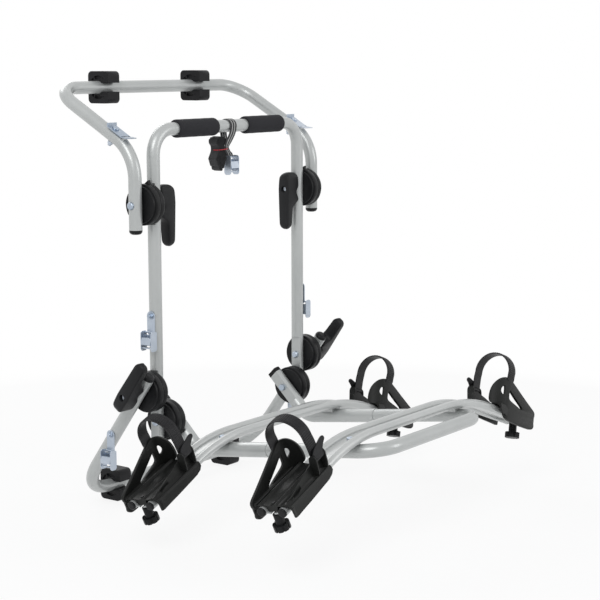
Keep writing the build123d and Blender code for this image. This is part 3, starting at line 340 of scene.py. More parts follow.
def bump_node(tree, height, strength, distance, shader):
    bump = tree.nodes.new("ShaderNodeBump")
    bump.inputs["Strength"].default_value = strength
    bump.inputs["Distance"].default_value = distance
    tree.links.new(height, bump.inputs["Height"])
    tree.links.new(bump.outputs["Normal"], shader.inputs["Normal"])


def grained(name, base, worn, grain, drift, scuffs, rough, bump, metallic=0.0, coat=0.0, specular=0.5):
    """A sprayed, moulded or plated finish, made with the shared grain."""
    mat, tree, shader = base_material(name)
    node = tree.nodes.new("ShaderNodeGroup")
    node.node_tree = GRAIN
    node.inputs["Base"].default_value = (*base, 1.0)
    node.inputs["Worn"].default_value = (*worn, 1.0)
    node.inputs["Grain scale"].default_value = grain
    node.inputs["Drift"].default_value = drift
    node.inputs["Scuffs"].default_value = scuffs
    node.inputs["Rough low"].default_value = rough[0]
    node.inputs["Rough high"].default_value = rough[1]
    tree.links.new(node.outputs["Color"], shader.inputs["Base Color"])
    tree.links.new(node.outputs["Roughness"], shader.inputs["Roughness"])
    shader.inputs["Metallic"].default_value = metallic
    shader.inputs["Specular IOR Level"].default_value = specular
    if coat:
        shader.inputs["Coat Weight"].default_value = coat
        shader.inputs["Coat Roughness"].default_value = 0.22
    bump_node(tree, node.outputs["Height"], bump[0], bump[1], shader)
    return mat


def woven(name, line_share):
    """Black webbing, with or without its two white lines."""
    mat, tree, shader = base_material(name)
    node = tree.nodes.new("ShaderNodeGroup")
    node.node_tree = WEAVE
    node.inputs["Line share"].default_value = line_share
    tree.links.new(node.outputs["Color"], shader.inputs["Base Color"])
    shader.inputs["Roughness"].default_value = 0.72
    shader.inputs["Sheen Weight"].default_value = 0.25
    shader.inputs["Sheen Roughness"].default_value = 0.4
    bump_node(tree, node.outputs["Height"], 0.6, 0.0004, shader)
    return mat


GRAIN = grain_group()
WEAVE = weave_group()
PAINT = grained(
    "silver_paint", (0.45, 0.465, 0.46), (0.52, 0.535, 0.53), 700.0, 0.5, 0.25,
    (0.30, 0.38), (0.12, 0.0003), metallic=0.35, coat=0.25,
)
RAIL = grained(
    "rail_silver", (0.49, 0.505, 0.50), (0.57, 0.58, 0.575), 650.0, 0.5, 0.35,
    (0.28, 0.38), (0.12, 0.0003), metallic=0.4, coat=0.2,
)
ZINC = grained(
    "blue_zinc", (0.36, 0.42, 0.50), (0.58, 0.63, 0.70), 380.0, 1.0, 0.6,
    (0.26, 0.42), (0.3, 0.0005), metallic=0.9,
)
FOAM = grained(
    "foam_grip", (0.022, 0.022, 0.025), (0.030, 0.030, 0.034), 1500.0, 0.8, 0.3,
    (0.85, 0.95), (0.55, 0.0006), specular=0.25,
)
RUBBER = grained(
    "saddle_rubber", (0.008, 0.008, 0.009), (0.020, 0.020, 0.022), 900.0, 0.6, 0.4,
    (0.42, 0.58), (0.25, 0.0005), specular=0.18,
)
PLASTIC = grained(
    "black_plastic", (0.006, 0.0062, 0.007), (0.018, 0.0185, 0.020), 1200.0, 0.5, 0.35,
    (0.32, 0.45), (0.30, 0.0004), specular=0.18,
)
HOLDER = grained(
    "holder_plastic", (0.008, 0.0085, 0.008), (0.021, 0.022, 0.021), 1000.0, 0.7, 0.4,
    (0.34, 0.46), (0.30, 0.0005), specular=0.18,
)
LEVER = grained(
    "lever_plastic", (0.007, 0.0072, 0.008), (0.021, 0.0215, 0.023), 1300.0, 0.6, 0.4,
    (0.34, 0.46), (0.35, 0.0004), specular=0.18,
)
STRAP = grained(
    "ladder_plastic", (0.010, 0.010, 0.011), (0.026, 0.026, 0.028), 1000.0, 0.6, 0.3,
    (0.36, 0.48), (0.20, 0.0004), specular=0.2,
)
LINED = woven("lined_webbing", 1.0)
PLAIN = woven("plain_webbing", 0.0)
RED = grained(
    "red_stitch", (0.45, 0.02, 0.03), (0.60, 0.05, 0.06), 900.0, 0.5, 0.2,
    (0.6, 0.7), (0.3, 0.0003),
)

SLOTS = {
    "frame_paint": PAINT,
    "rail_metal": RAIL,
    "zinc": ZINC,
    "foam": FOAM,
    "saddle_rubber": RUBBER,
    "webbing": PLAIN,
    "black_plastic": PLASTIC,
}


# Mesh helpers
def finish_piece(name, bm, material, body, nodes=(), smooth=35.0):
    """Turn a finished bmesh into a piece that rides on a body."""
    bmesh.ops.recalc_face_normals(bm, faces=bm.faces[:])
    mesh = bpy.data.meshes.new(name)
    bm.to_mesh(mesh)
    bm.free()
    mesh.materials.append(material)
    for face in mesh.polygons:
        face.use_smooth = True
    mesh.set_sharp_from_angle(angle=math.radians(smooth))
    piece = bpy.data.objects.new(name, mesh)
    bpy.context.scene.collection.objects.link(piece)
    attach(piece, body)
    if nodes:
        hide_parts(*nodes)
    return piece


def dress_cad():
    """Give every CAD node the finish of its slot."""
    for part in frame["record"]["subparts"]:
        node = frame["nodes"][part["node"]]
        node.data.materials.clear()
        node.data.materials.append(SLOTS[part["material_slot"]])


WELD_REACH = 0.00001
SOFT_ANGLE = 35.0
# rounding in millimetres, and the CAD nodes that get it
SOFT_EDGES = (
    (2.2, ("upper_saddles", "lower_saddles")),
    (1.2, ("upper_inner_discs", "upper_outer_discs", "lower_inner_discs")),
    (1.2, ("lower_outer_discs", "platform_inner_discs", "platform_outer_discs")),
    (1.0, ("clamp_knob_inner_left", "clamp_knob_inner_right")),
    (1.0, ("clamp_knob_outer_left", "clamp_knob_outer_right")),
    (0.8, ("rail_end_caps",)),
    (0.4, ("upper_strap_plates",)),
    (0.3, ("main_buckle_frame",)),
)


def round_edges(thing, name, angle, width):
    """A bevel on the edges that are sharper than an angle, its width in millimetres."""
    bevel = thing.modifiers.new(name, "BEVEL")
    bevel.limit_method = "ANGLE"
    bevel.angle_limit = math.radians(angle)
    bevel.width = width * MM
    bevel.segments = 2


def soften(name, width):
    """Round the hard edges of a CAD node with modifiers, its own mesh untouched."""
    node = frame["nodes"][name]
    weld = node.modifiers.new("weld", "WELD")
    weld.merge_threshold = WELD_REACH
    round_edges(node, "soft_edges", SOFT_ANGLE, width)


def add_mesh(bm, mesh):
    """Take a finished mesh into a bmesh and drop the mesh."""
    bm.from_mesh(mesh)
    bpy.data.meshes.remove(mesh)


def draw_out(bm, faces, reach):
    """Extrude faces along X."""
    top = bmesh.ops.extrude_face_region(bm, geom=faces)["geom"]
    verts = [part for part in top if isinstance(part, bmesh.types.BMVert)]
    bmesh.ops.translate(bm, vec=(reach, 0, 0), verts=verts)


def chain(bm, spots):
    """New edges through a row of places, and the vertices that they join."""
    verts = [bm.verts.new(spot) for spot in spots]
    return [bm.edges.new(pair) for pair in zip(verts, verts[1:])], verts


# Foam grips
TOP_BAR_HEIGHT = 897.5
BAR_R = 15.0
FOAM_R = 21.0
FOAM_INSIDE = 56.0
FOAM_OUTSIDE = 197.0
FOAM_WAVES = 8
FOAM_WAVE = 0.25
# the rolled lip of a sleeve: how far in from its end, and the radius there
FOAM_LIP = (
    (1.0, BAR_R + 0.2), (0.0, BAR_R + 1.6), (0.4, FOAM_R - 3.2),
    (1.6, FOAM_R - 1.3), (4.0, FOAM_R - FOAM_WAVE), (9.0, FOAM_R),
)


def foam_grips():
    """Two foam sleeves with soft rolled ends, spun about the top bar."""
    bm = bmesh.new()
    centre = place(0, 0, TOP_BAR_HEIGHT)
    length = FOAM_OUTSIDE - FOAM_INSIDE
    profile = list(FOAM_LIP)
    for wave in range(1, FOAM_WAVES):
        profile.append((length * wave / FOAM_WAVES, FOAM_R - FOAM_WAVE * (wave % 2)))
    profile += [(length - x, r) for x, r in reversed(FOAM_LIP)]
    for side in (-1, 1):
        spots = [centre + Vector((side * (FOAM_INSIDE + x), 0, r)) * MM for x, r in profile]
        edges, verts = chain(bm, spots)
        edges.append(bm.edges.new((verts[-1], verts[0])))
        bmesh.ops.spin(
            bm, geom=verts + edges, cent=centre, axis=(1, 0, 0), angle=2 * math.pi,
            steps=40, use_merge=True, use_duplicate=False,
        )
    bmesh.ops.remove_doubles(bm, verts=bm.verts[:], dist=0.00002)
    piece = finish_piece("foam_sleeves", bm, FOAM, "main_frame", ["foam_grips"], 60.0)


# Webbing
WEB_WIDTH = 25.0
WEB_THICK = 1.6
WEB_STRANDS = 4


def ribbon(name, rows, material, node):
    """A strap through rows of (middle point, half-width vector), with its own UV map."""
    bm = bmesh.new()
    uv = bm.loops.layers.uv.new("strap")
    marks = [0.0]
    for (a, _), (b, _) in zip(rows, rows[1:]):
        marks.append(marks[-1] + (b - a).length)
    chains = []
    places = {}
    for (middle, half), mark in zip(rows, marks):
        shares = [k / WEB_STRANDS for k in range(WEB_STRANDS + 1)]
        edges, verts = chain(bm, [middle + half * (2 * share - 1) for share in shares])
        chains.append(edges)
        places.update({vert: (share, mark) for vert, share in zip(verts, shares)})
    for low, high in zip(chains, chains[1:]):
        bmesh.ops.bridge_loops(bm, edges=low + high)
    bmesh.ops.recalc_face_normals(bm, faces=bm.faces[:])
    for face in bm.faces:
        for loop in face.loops:
            loop[uv].uv = places[loop.vert]
    mesh = bpy.data.meshes.new(name)
    bm.to_mesh(mesh)
    bm.free()
    mesh.materials.append(material)
    for face in mesh.polygons:
        face.use_smooth = True
    piece = bpy.data.objects.new(name, mesh)
    bpy.context.scene.collection.objects.link(piece)
    solid = piece.modifiers.new("thickness", "SOLIDIFY")
    solid.thickness = WEB_THICK * MM
    solid.offset = 0.0
    smooth = piece.modifiers.new("smooth", "SUBSURF")
    smooth.levels = 2
    smooth.render_levels = 2
    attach(piece, "main_frame")
    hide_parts(node)


def spline_points(points, name, resolution=8):
    """Points along a smooth NURBS through a few given places."""
    data = bpy.data.curves.new(name, "CURVE")
    data.dimensions = "3D"
    spline = data.splines.new("NURBS")
    spline.points.add(len(points) - 1)
    for point, spot in zip(spline.points, points):
        point.co = (*spot, 1.0)
    spline.order_u = 3
    spline.use_endpoint_u = True
    spline.resolution_u = resolution
    holder = bpy.data.objects.new(name, data)
    bpy.context.scene.collection.objects.link(holder)
    bpy.context.view_layer.update()
    mesh = bpy.data.meshes.new_from_object(holder)
    line = [v.co.copy() for v in mesh.vertices]
    bpy.data.objects.remove(holder)
    bpy.data.meshes.remove(mesh)
    return line


STRAP_X = -3.0
STRAP_LIFT = 1.2
STRAP_SLACK = 1.02
PIN_HEIGHT = 824.0
WAIST_X = -27.0
WAIST_HEIGHT = 846.0
# the tie narrows the strap near its waist: how far it reaches, and by what share of the width
PINCH_REACH = 11.0
PINCH_FRONT = 0.42
PINCH_BACK = 0.168


def strap_loop():
    """The strap over the bare middle of the bar, pinched at the tie, down to the buckle pin."""
    rise = BAR_R + STRAP_LIFT
    spots = [
        (STRAP_X + 1, -3.4, PIN_HEIGHT + 1), (STRAP_X, -5.5, PIN_HEIGHT + 6),
        (WAIST_X + 6, -11.5, WAIST_HEIGHT - 6), (WAIST_X, -14.0, WAIST_HEIGHT + 2),
        (WAIST_X + 4, -16.5, WAIST_HEIGHT + 14), (STRAP_X - 4, -rise - 1, TOP_BAR_HEIGHT - 16),
    ]
    reach = rise * STRAP_SLACK
    for degrees in range(180, -1, -15):
        turn = math.radians(degrees)
        spots.append((STRAP_X, reach * math.cos(turn), TOP_BAR_HEIGHT + reach * math.sin(turn)))
    spots += [
        (STRAP_X, rise - 2, TOP_BAR_HEIGHT - 22), (STRAP_X - 4, 6, WAIST_HEIGHT + 4),
        (STRAP_X, 0.5, PIN_HEIGHT + 8), (STRAP_X + 1, -1.2, PIN_HEIGHT + 1),
    ]
    waist = place(0, 0, WAIST_HEIGHT)
    rows = []
    for spot in spline_points([place(*spot) for spot in spots], "strap_route"):
        off = (spot.z - waist.z) / (PINCH_REACH * MM)
        pinch = (PINCH_FRONT if spot.y < waist.y else PINCH_BACK) * math.exp(-off ** 2)
        rows.append((spot, Vector((WEB_WIDTH / 2 * MM * (1 - pinch), 0, 0))))
    ribbon("strap_over_bar", rows, LINED, "main_strap_loop")


HANK_X = -44.0
HANK_TOP = 874.0
HANK_FOOT = 793.0
HANK_LAYERS = 9
# the outer layers end this much short of the middle one
SHORT_TOP = 5.0
SHORT_FOOT = 17.0
LOBE_PITCH = 4.6
WAIST_PITCH = 2.3


def strap_hank():
    """The spare webbing, folded to and fro and tied at its waist."""
    route = []
    half = (HANK_LAYERS - 1) / 2
    for layer in range(HANK_LAYERS):
        offset = layer - half
        lobe, waist = offset * LOBE_PITCH, offset * WAIST_PITCH
        short = (abs(offset) / half) ** 2
        top = HANK_TOP - SHORT_TOP * short
        foot = HANK_FOOT + SHORT_FOOT * short
        column = [
            (lobe * 0.9, top), (lobe * 1.04, top - 9),
            (waist * 1.15, WAIST_HEIGHT + 7), (waist, WAIST_HEIGHT - 1), (waist * 1.15, WAIST_HEIGHT - 9),
            (lobe * 1.12, WAIST_HEIGHT - 24), (lobe * 0.98, foot + 9), (lobe * 0.8, foot),
        ]
        if layer % 2:
            column.reverse()
        route.extend(column)
    line = spline_points([place(HANK_X + x, 0, z) for x, z in route], "hank_route", resolution=4)
    rows = [(spot, Vector((0, WEB_WIDTH / 2 * MM, 0))) for spot in line]
    ribbon("folded_strap", rows, PLAIN, "main_strap_hank")


TIE_HALF_X = 20.5
TIE_HALF_Y = 13.5
TIE_LIFTS = (-2.2, 0.0, 2.2)
TIE_SLANT = 1.2
TIE_CORD_R = 0.8


def tie_band():
    """The thin elastic tie round the waist of the spare webbing and the strap."""
    bm = bmesh.new()
    centre = place((HANK_X + WAIST_X) / 2 - 1, -3.5, WAIST_HEIGHT)
    for lift in TIE_LIFTS:
        ring = bmesh.ops.create_circle(bm, cap_ends=False, segments=36, radius=1.0)["verts"]
        for vert in ring:
            x, y = vert.co.x, vert.co.y
            vert.co = centre + Vector((x * TIE_HALF_X, y * TIE_HALF_Y, lift + x * TIE_SLANT)) * MM
    mesh = bpy.data.meshes.new("waist_tie")
    bm.to_mesh(mesh)
    bm.free()
    loop = bpy.data.objects.new("waist_tie_path", mesh)
    bpy.context.scene.collection.objects.link(loop)
    loop.modifiers.new("cord", "SKIN")
    for vert in mesh.skin_vertices[0].data:
        vert.radius = (TIE_CORD_R * MM, TIE_CORD_R * MM)
    dg = bpy.context.evaluated_depsgraph_get()
    cord = bpy.data.meshes.new_from_object(loop.evaluated_get(dg))
    bpy.data.objects.remove(loop)
    bm = bmesh.new()
    add_mesh(bm, cord)
    finish_piece("waist_tie", bm, RED, "main_frame")


# Wheel holders: their own frame runs outward along the rail, across it, and up from it
HOLDER_X = 430.0
OUTWARD = (0.936672, -0.046317, -0.347131)
NORMAL = (0.350207, 0.123883, 0.928442)
# deck, and the place of its wings' middles
WINGS = (("inner", -153.25, 136.888), ("outer", -506.25, 182.475))
SIDES = (("left", -1), ("right", 1))


def wing_frame(y, z, side):
    """From a wheel holder's own frame, in millimetres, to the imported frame."""
    outward = Vector((side * OUTWARD[0], OUTWARD[1], OUTWARD[2])).normalized()
    normal = Vector((side * NORMAL[0], NORMAL[1], NORMAL[2]))
    normal = (normal - outward * normal.dot(outward)).normalized()
    turn = Matrix((outward, normal.cross(outward), normal)).transposed().to_4x4()
    return Matrix.Translation(place(side * HOLDER_X, y, z)) @ turn @ Matrix.Scale(MM, 4)


SHELL_HALF = 52.0
# station, how far the skirt side starts outward of it, wall foot, fin top, skirt foot,
# and the dip between the tubes
STATIONS = (
    (-86.0, 9.0, 2.0, 36.0, 3.0, 11.4),
    (-76.0, 6.0, -8.0, 44.0, -4.0, 11.0),
    (-58.0, 2.0, -14.0, 47.0, -8.0, 10.0),
    (-20.0, 0.0, -16.0, 39.5, -10.0, 8.0),
    (20.0, 0.0, -17.0, 29.5, -12.0, 5.0),
    (52.0, 0.0, -17.0, 21.5, -13.0, 2.5),
    (70.0, 0.0, -16.0, 18.6, -14.0, 0.5),
    (77.0, 0.0, -11.0, 17.4, -13.0, -0.5),
)


def shell_outline(wall_foot, fin_top, skirt_foot, dip):
    """The closed outline of the shell at one station, from the wall side to the skirt side and back."""
    return [
        (-52.6, wall_foot), (-52.8, 4.0), (-51.0, 12.0), (-47.0, 15.0), (-42.0, 14.5),
        (-38.0, 12.4), (-34.0, 13.2), (-30.0, 17.4), (-27.0, 18.0), (-23.5, 13.6),
        (-10.0, 12.6), (2.0, 12.8), (8.0, 16.2), (11.0, 16.6), (15.0, 13.4), (27.0, 14.0),
        (33.5, 18.0), (36.2, fin_top), (39.0, fin_top), (41.0, 19.0), (46.5, 13.0),
        (50.0, 14.0), (53.2, 9.0), (54.0, skirt_foot), (50.0, skirt_foot), (48.0, 4.0),
        (40.0, 11.6), (15.5, 11.6), (11.0, dip), (-11.0, dip), (-15.5, 11.6), (-40.0, 11.6),
        (-48.0, 4.0), (-48.6, wall_foot),
    ]


def bridge_shell(bm):
    """The trough: its outlines bridged from station to station and closed at both ends."""
    loops = []
    for station, lead, *heights in STATIONS:
        spots = []
        for y, z in shell_outline(*heights):
            spots.append((station + lead * (y + SHELL_HALF) / (2 * SHELL_HALF), y, z))
        edges, verts = chain(bm, spots)
        edges.append(bm.edges.new((verts[-1], verts[0])))
        loops.append(edges)
    for first, second in zip(loops, loops[1:]):
        bmesh.ops.bridge_loops(bm, edges=first + second)
    for end in (loops[0], loops[-1]):
        bmesh.ops.contextual_create(bm, geom=end)


def plate_from_outline(name, outline, holes, half_thickness, bevel, matrix):
    """A flat moulded plate with rounded edges, from a filled curve, as a mesh in millimetres."""
    data = bpy.data.curves.new(name, "CURVE")
    data.dimensions = "2D"
    data.fill_mode = "BOTH"
    data.extrude = half_thickness - bevel
    data.bevel_depth = bevel
    data.bevel_resolution = 2
    data.resolution_u = 10
    for points in [outline, *holes]:
        spline = data.splines.new("NURBS")
        spline.points.add(len(points) - 1)
        for point, (x, y) in zip(spline.points, points):
            point.co = (x, y, 0.0, 1.0)
        spline.order_u = 3
        spline.use_cyclic_u = True
    holder = bpy.data.objects.new(name, data)
    bpy.context.scene.collection.objects.link(holder)
    bpy.context.view_layer.update()
    mesh = bpy.data.meshes.new_from_object(holder)
    mesh.transform(matrix)
    bpy.data.objects.remove(holder)
    return mesh


# the wall's own flat pattern: along the rail, height above its foot
WALL_Y = -49.0
WALL_FOOT = 12.0
WALL_HALF = 3.9
WALL_BEVEL = 1.5
WALL_OUTLINE = (
    (77, -24), (78, -30), (72, -36), (60, -38), (20, -38), (-20, -37), (-52, -34), (-64, -28),
    (-68, -12), (-70, 1), (-76, 2), (-90, 2), (-100, 4), (-103, 12), (-102, 28), (-98, 42),
    (-90, 54), (-80, 63), (-68, 67), (-56, 67), (-48, 64), (-30, 56), (20, 32), (60, 14),
    (74, 8), (79, 3), (78, -6), (72, -13), (73, -18),
)
WALL_HOLE = (
    (-49, 41), (-52, 38), (-53, 30), (-53, 20), (-50, 15), (-38, 11), (-10, 5), (8, 0),
    (16, 1), (18, 5), (10, 11), (-20, 25), (-44, 38),
)
ARCH_HOLE = (
    (-67, 48), (-65, 44), (-65, 28), (-67, 23), (-72, 24), (-77, 30), (-78, 36), (-76, 43), (-71, 48),
)
# where the wall starts to roll round, its radius, and the cuts that let it bend
BEND_START = -50.0
BEND_R = 38.0
BEND_CUTS = 11
BEND_PITCH = 5.0


def bent_wall():
    """The tyre wall: flat along the rail, rolled round the inboard end of the trough."""
    matrix = Matrix(((1, 0, 0, 0), (0, 0, -1, WALL_Y), (0, 1, 0, WALL_FOOT), (0, 0, 0, 1)))
    holes = [WALL_HOLE, ARCH_HOLE]
    bm = bmesh.new()
    add_mesh(bm, plate_from_outline("holder_wall", WALL_OUTLINE, holes, WALL_HALF, WALL_BEVEL, matrix))
    bmesh.ops.remove_doubles(bm, verts=bm.verts[:], dist=0.01)
    for cut in range(BEND_CUTS):
        spot = (BEND_START - BEND_PITCH * cut, 0, 0)
        whole = bm.verts[:] + bm.edges[:] + bm.faces[:]
        bmesh.ops.bisect_plane(bm, geom=whole, plane_co=spot, plane_no=(1, 0, 0))
    for vert in bm.verts:
        past = BEND_START - vert.co.x
        if past > 0:
            turn = past / BEND_R
            reach = BEND_R - (vert.co.y - WALL_Y)
            vert.co.x = BEND_START - reach * math.sin(turn)
            vert.co.y = WALL_Y + BEND_R - reach * math.cos(turn)
    mesh = bpy.data.meshes.new("bent_wall")
    bm.to_mesh(mesh)
    bm.free()
    return mesh


PIVOT = Vector((-50.0, 48.8, 52.0))
PIN_R = 2.4
PIN_LENGTH = 38.0
EAR_STATIONS = (-67.0, -33.0)
EAR_HALF = 1.9
EAR_BEVEL = 0.7
# the ear beside the pin: across the rail, height
EAR = ((40, 16), (52, 16), (55, 24), (57, 44), (58, 54), (53, 60.5), (45, 60.5), (40, 55), (38, 40))


def wheel_holder(name, wing):
    """The moulded holder: trough, rolled wall, and the two ears with the pin of the ratchet."""
    bm = bmesh.new()
    bridge_shell(bm)
    add_mesh(bm, bent_wall())
    for station in EAR_STATIONS:
        turned = Matrix(((0, 0, 1, station), (1, 0, 0, 0), (0, 1, 0, 0), (0, 0, 0, 1)))
        add_mesh(bm, plate_from_outline("buckle_ear", EAR, [], EAR_HALF, EAR_BEVEL, turned))
    bmesh.ops.create_cone(
        bm, cap_ends=True, segments=20, radius1=PIN_R, radius2=PIN_R, depth=PIN_LENGTH,
        matrix=Matrix.Translation(PIVOT) @ Matrix.Rotation(math.pi / 2, 4, "Y"),
    )
    bmesh.ops.recalc_face_normals(bm, faces=bm.faces[:])
    bm.transform(wing)
    piece = finish_piece(f"wheel_{name}", bm, HOLDER, name, [name], 40.0)
    round_edges(piece, "moulded_edges", 28.0, 0.9)


BARREL_START = -64.0
BARREL_LENGTH = 28.0
BARREL_R = 8.6
GROOVE_R = 7.7
KNURLS = 12
# the thumb blade: along the rail, reach up from the pivot
THUMB = (
    (-63, -4), (-66, 3), (-74, 9), (-84, 14), (-91, 17), (-92, 22), (-86, 24), (-74, 21),
    (-56, 17), (-41, 12), (-36, 6), (-37, -4), (-50, -6),
)
THUMB_LEAN = math.radians(27.0)
THUMB_OFFSET = 6.0
THUMB_HALF = 2.4
THUMB_BEVEL = 1.2


def ratchet_lever(name, wing):
    """The strap's ratchet: a knurled barrel on the pin and the long thumb blade above it."""
    bm = bmesh.new()
    steps = KNURLS * 4
    ring = []
    for step in range(steps):
        turn = 2 * math.pi * step / steps
        reach = BARREL_R if step % 4 < 2 else GROOVE_R
        spot = (BARREL_START, PIVOT.y + reach * math.cos(turn), PIVOT.z + reach * math.sin(turn))
        ring.append(bm.verts.new(spot))
    draw_out(bm, bmesh.ops.contextual_create(bm, geom=ring)["faces"], BARREL_LENGTH)
    sine, cosine = math.sin(THUMB_LEAN), math.cos(THUMB_LEAN)
    matrix = Matrix((
        (1, 0, 0, 0),
        (0, -sine, -cosine, PIVOT.y + THUMB_OFFSET * cosine),
        (0, cosine, -sine, PIVOT.z + THUMB_OFFSET * sine),
        (0, 0, 0, 1),
    ))
    add_mesh(bm, plate_from_outline("thumb_blade", THUMB, [], THUMB_HALF, THUMB_BEVEL, matrix))
    bm.transform(wing)
    finish_piece(f"{name}_blade", bm, LEVER, name, [name])


STRAP_HALF = 15.0
STRAP_THICK = 2.6
STRAP_R = 47.0
STRAP_Y = -6.5
STRAP_RISE = 95.0
# the strap's two feet, from the ratchet up and down to the fin: across the rail, height
STRAP_START = ((-46.0, 64.0), (-51.0, 74.0), (-52.0, 86.0))
STRAP_END = ((42.6, 86.0), (43.4, 72.0), (44.0, 58.0))
RIB_PITCH = 5.0
RIB_RISE = 1.1
RIB_DIP = -0.2
RIB_INSET = 0.3
PLAIN_EDGE = 3.0
PLAIN_STEPS = 8


def strap_spots():
    """Places along the ladder strap, four to a rib, each with its outward direction."""
    centre = list(STRAP_START)
    for degrees in range(180, -1, -5):
        turn = math.radians(degrees)
        centre.append((STRAP_Y + STRAP_R * math.cos(turn), STRAP_RISE + STRAP_R * math.sin(turn)))
    centre += STRAP_END
    line = spline_points([Vector((0, y, z)) for y, z in centre], "strap_line", resolution=10)
    marks = [0.0]
    for a, b in zip(line, line[1:]):
        marks.append(marks[-1] + (b - a).length)
    steps = int(marks[-1] / RIB_PITCH) * 4
    spots = []
    index = 0
    for step in range(steps + 1):
        goal = marks[-1] * step / steps
        while index < len(marks) - 2 and marks[index + 1] < goal:
            index += 1
        share = (goal - marks[index]) / (marks[index + 1] - marks[index])
        along = (line[index + 1] - line[index]).normalized()
        spots.append((line[index].lerp(line[index + 1], share), Vector((0, -along.z, along.y))))
    return spots


def ladder_strap(name, holder, wing):
    """The toothed strap over the tyre: a full-width band, and a narrower one with the ribs."""
    spots = strap_spots()
    inside = range(PLAIN_STEPS + 1, len(spots) - 1 - PLAIN_STEPS)
    half_thick = STRAP_THICK / 2
    bm = bmesh.new()
    for half_width, ribbed in ((STRAP_HALF, False), (STRAP_HALF - PLAIN_EDGE, True)):
        start = Vector((PIVOT.x - half_width, 0, 0))
        outer = []
        inner = []
        for step in inside if ribbed else range(len(spots)):
            spot, out = spots[step]
            rise = (RIB_RISE if step % 4 in (1, 2) else RIB_DIP) if ribbed else 0.0
            inset = RIB_INSET if ribbed else 0.0
            outer.append(start + spot + out * (half_thick + rise))
            inner.append(start + spot - out * (half_thick - inset))
        edges = chain(bm, outer)[0] + chain(bm, inner[::-1])[0]
        draw_out(bm, bmesh.ops.bridge_loops(bm, edges=edges)["faces"], 2 * half_width)
    bm.transform(wing)
    finish_piece(f"{name}_band", bm, STRAP, holder, [name], 30.0)


# Clamp levers, their side profile: out from the tube, along the blade
LEVER_PROFILE = (
    (1.0, -26), (0.7, -14), (1.5, -6), (9.0, 3), (9.5, 12), (3.5, 20), (0.8, 24), (1.5, 29),
    (9.0, 34), (20.0, 41), (24.0, 52), (25.5, 74), (26.5, 92), (29.0, 97.5), (35.0, 97.5),
    (38.6, 92), (38.9, 60), (38.9, 0), (38.6, -24), (35.0, -35), (26.0, -37.8), (10.0, -37.8),
    (3.0, -35),
)
LEVER_HALF = 16.4
LEVER_BEVEL = 3.6
LEVER_TIP = 97.5
LEVER_BACK = 37.8
LEVER_FACE = 38.9
# the blade narrows to the tip, and by a share of that towards the hinge end
TIP_HALF = 13.4
BACK_REACH = 38.0
BACK_TAPER = 0.8
# both ends are rounded off over this length, by this share of the width
CORNER_ROUND = 11.0
CORNER_CUT = 0.38
RECESS_R = 7.6
RECESS_DEPTH = 4.6
BOLT_HOLE_R = 5.15
CUT_START = -10.0
CUT_END = 60.0
LEG_X = 272.0
ARM_OUTER = 349.1
LEVER_SEAT_GAP = 0.3
UPPER_HINGE = 732.0
LOWER_HINGE = 304.0
LOWER_SLOPE = math.radians(54.0)


def round_cutter(name, radius, low, matrix):
    """A round bar from a height to the end of all cuts, to be cut out of a lever."""
    bm = bmesh.new()
    bmesh.ops.create_cone(
        bm, cap_ends=True, segments=40, radius1=radius, radius2=radius, depth=CUT_END - low,
        matrix=Matrix.Translation((0, 0, (low + CUT_END) / 2)),
    )
    bm.transform(matrix)
    mesh = bpy.data.meshes.new(name)
    bm.to_mesh(mesh)
    bm.free()
    cutter = bpy.data.objects.new(name, mesh)
    bpy.context.scene.collection.objects.link(cutter)
    return cutter


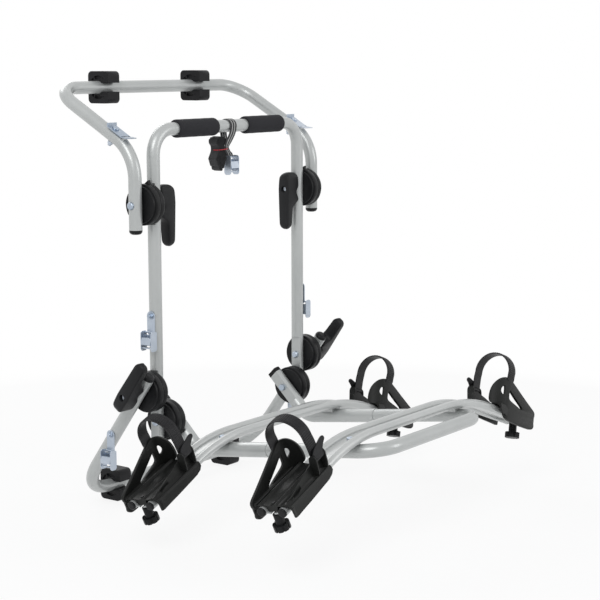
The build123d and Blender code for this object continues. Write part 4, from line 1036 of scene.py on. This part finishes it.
def clamp_lever(name, seat):
    """A cam lever: its side profile drawn to its width, tapered and rounded, with a bolt recess."""
    mesh = plate_from_outline("lever_blank", LEVER_PROFILE, [], LEVER_HALF, LEVER_BEVEL, Matrix.Identity(4))
    for vert in mesh.vertices:
        share = min(max(vert.co.y / LEVER_TIP, 0.0), 1.0)
        end = min(max(-vert.co.y / BACK_REACH, 0.0), 1.0)
        vert.co.z *= 1.0 + (TIP_HALF / LEVER_HALF - 1.0) * max(share, end * BACK_TAPER)
        near = min(LEVER_TIP - vert.co.y, vert.co.y + LEVER_BACK) / CORNER_ROUND
        if near < 1.0:
            vert.co.z *= 1.0 - CORNER_CUT * (1.0 - near) ** 2
    blank = bpy.data.objects.new("lever_blank", mesh)
    bpy.context.scene.collection.objects.link(blank)
    out = Matrix(((0, 0, 1, 0), (0, 1, 0, 0), (-1, 0, 0, 0), (0, 0, 0, 1)))
    cutters = [
        round_cutter("bolt_hole", BOLT_HOLE_R, CUT_START, out),
        round_cutter("bolt_recess", RECESS_R, LEVER_FACE - RECESS_DEPTH, out),
    ]
    for cutter in cutters:
        cut = blank.modifiers.new("cut", "BOOLEAN")
        cut.operation = "DIFFERENCE"
        cut.solver = "EXACT"
        cut.object = cutter
    dg = bpy.context.evaluated_depsgraph_get()
    shape = bpy.data.meshes.new_from_object(blank.evaluated_get(dg))
    for spare in [blank, *cutters]:
        bpy.data.objects.remove(spare)
    bm = bmesh.new()
    add_mesh(bm, shape)
    bmesh.ops.remove_doubles(bm, verts=bm.verts[:], dist=0.01)
    bm.transform(seat)
    finish_piece(f"{name}_grip", bm, LEVER, name, [name], 32.0)


def lever_seat(seat_x, facing, height, along):
    """From a lever's profile, in millimetres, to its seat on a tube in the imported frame."""
    out = Vector((facing, 0, 0))
    blade = Vector(along)
    turn = Matrix((out, blade, out.cross(blade))).transposed().to_4x4()
    return Matrix.Translation(place(seat_x, 0, height)) @ turn @ Matrix.Scale(MM, 4)


def all_levers():
    """The upper levers inside the legs, pointing down, and the lower ones outside the arms."""
    blade_up = (0, -math.cos(LOWER_SLOPE), math.sin(LOWER_SLOPE))
    inner_seat = LEG_X - BAR_R - LEVER_SEAT_GAP
    outer_seat = ARM_OUTER + LEVER_SEAT_GAP
    for end, side in reversed(SIDES):
        clamp_lever(f"upper_lever_{end}", lever_seat(side * inner_seat, -side, UPPER_HINGE, (0, 0, -1)))
        clamp_lever(f"lower_lever_{end}", lever_seat(side * outer_seat, side, LOWER_HINGE, blade_up))


make_camera()
make_world()
make_floor()
for lamp in LAMPS:
    soft_lamp(*lamp)
dress_cad()
for width, names in SOFT_EDGES:
    for name in names:
        soften(name, width)
all_levers()
foam_grips()
strap_loop()
strap_hank()
tie_band()
for deck, wing_y, wing_z in WINGS:
    for end, side in SIDES:
        wing = wing_frame(wing_y, wing_z, side)
        wheel_holder(f"holder_{deck}_{end}", wing)
        ladder_strap(f"ladder_strap_{deck}_{end}", f"holder_{deck}_{end}", wing)
        ratchet_lever(f"ratchet_lever_{deck}_{end}", wing)
bpy.context.scene.view_settings.view_transform = "Standard"
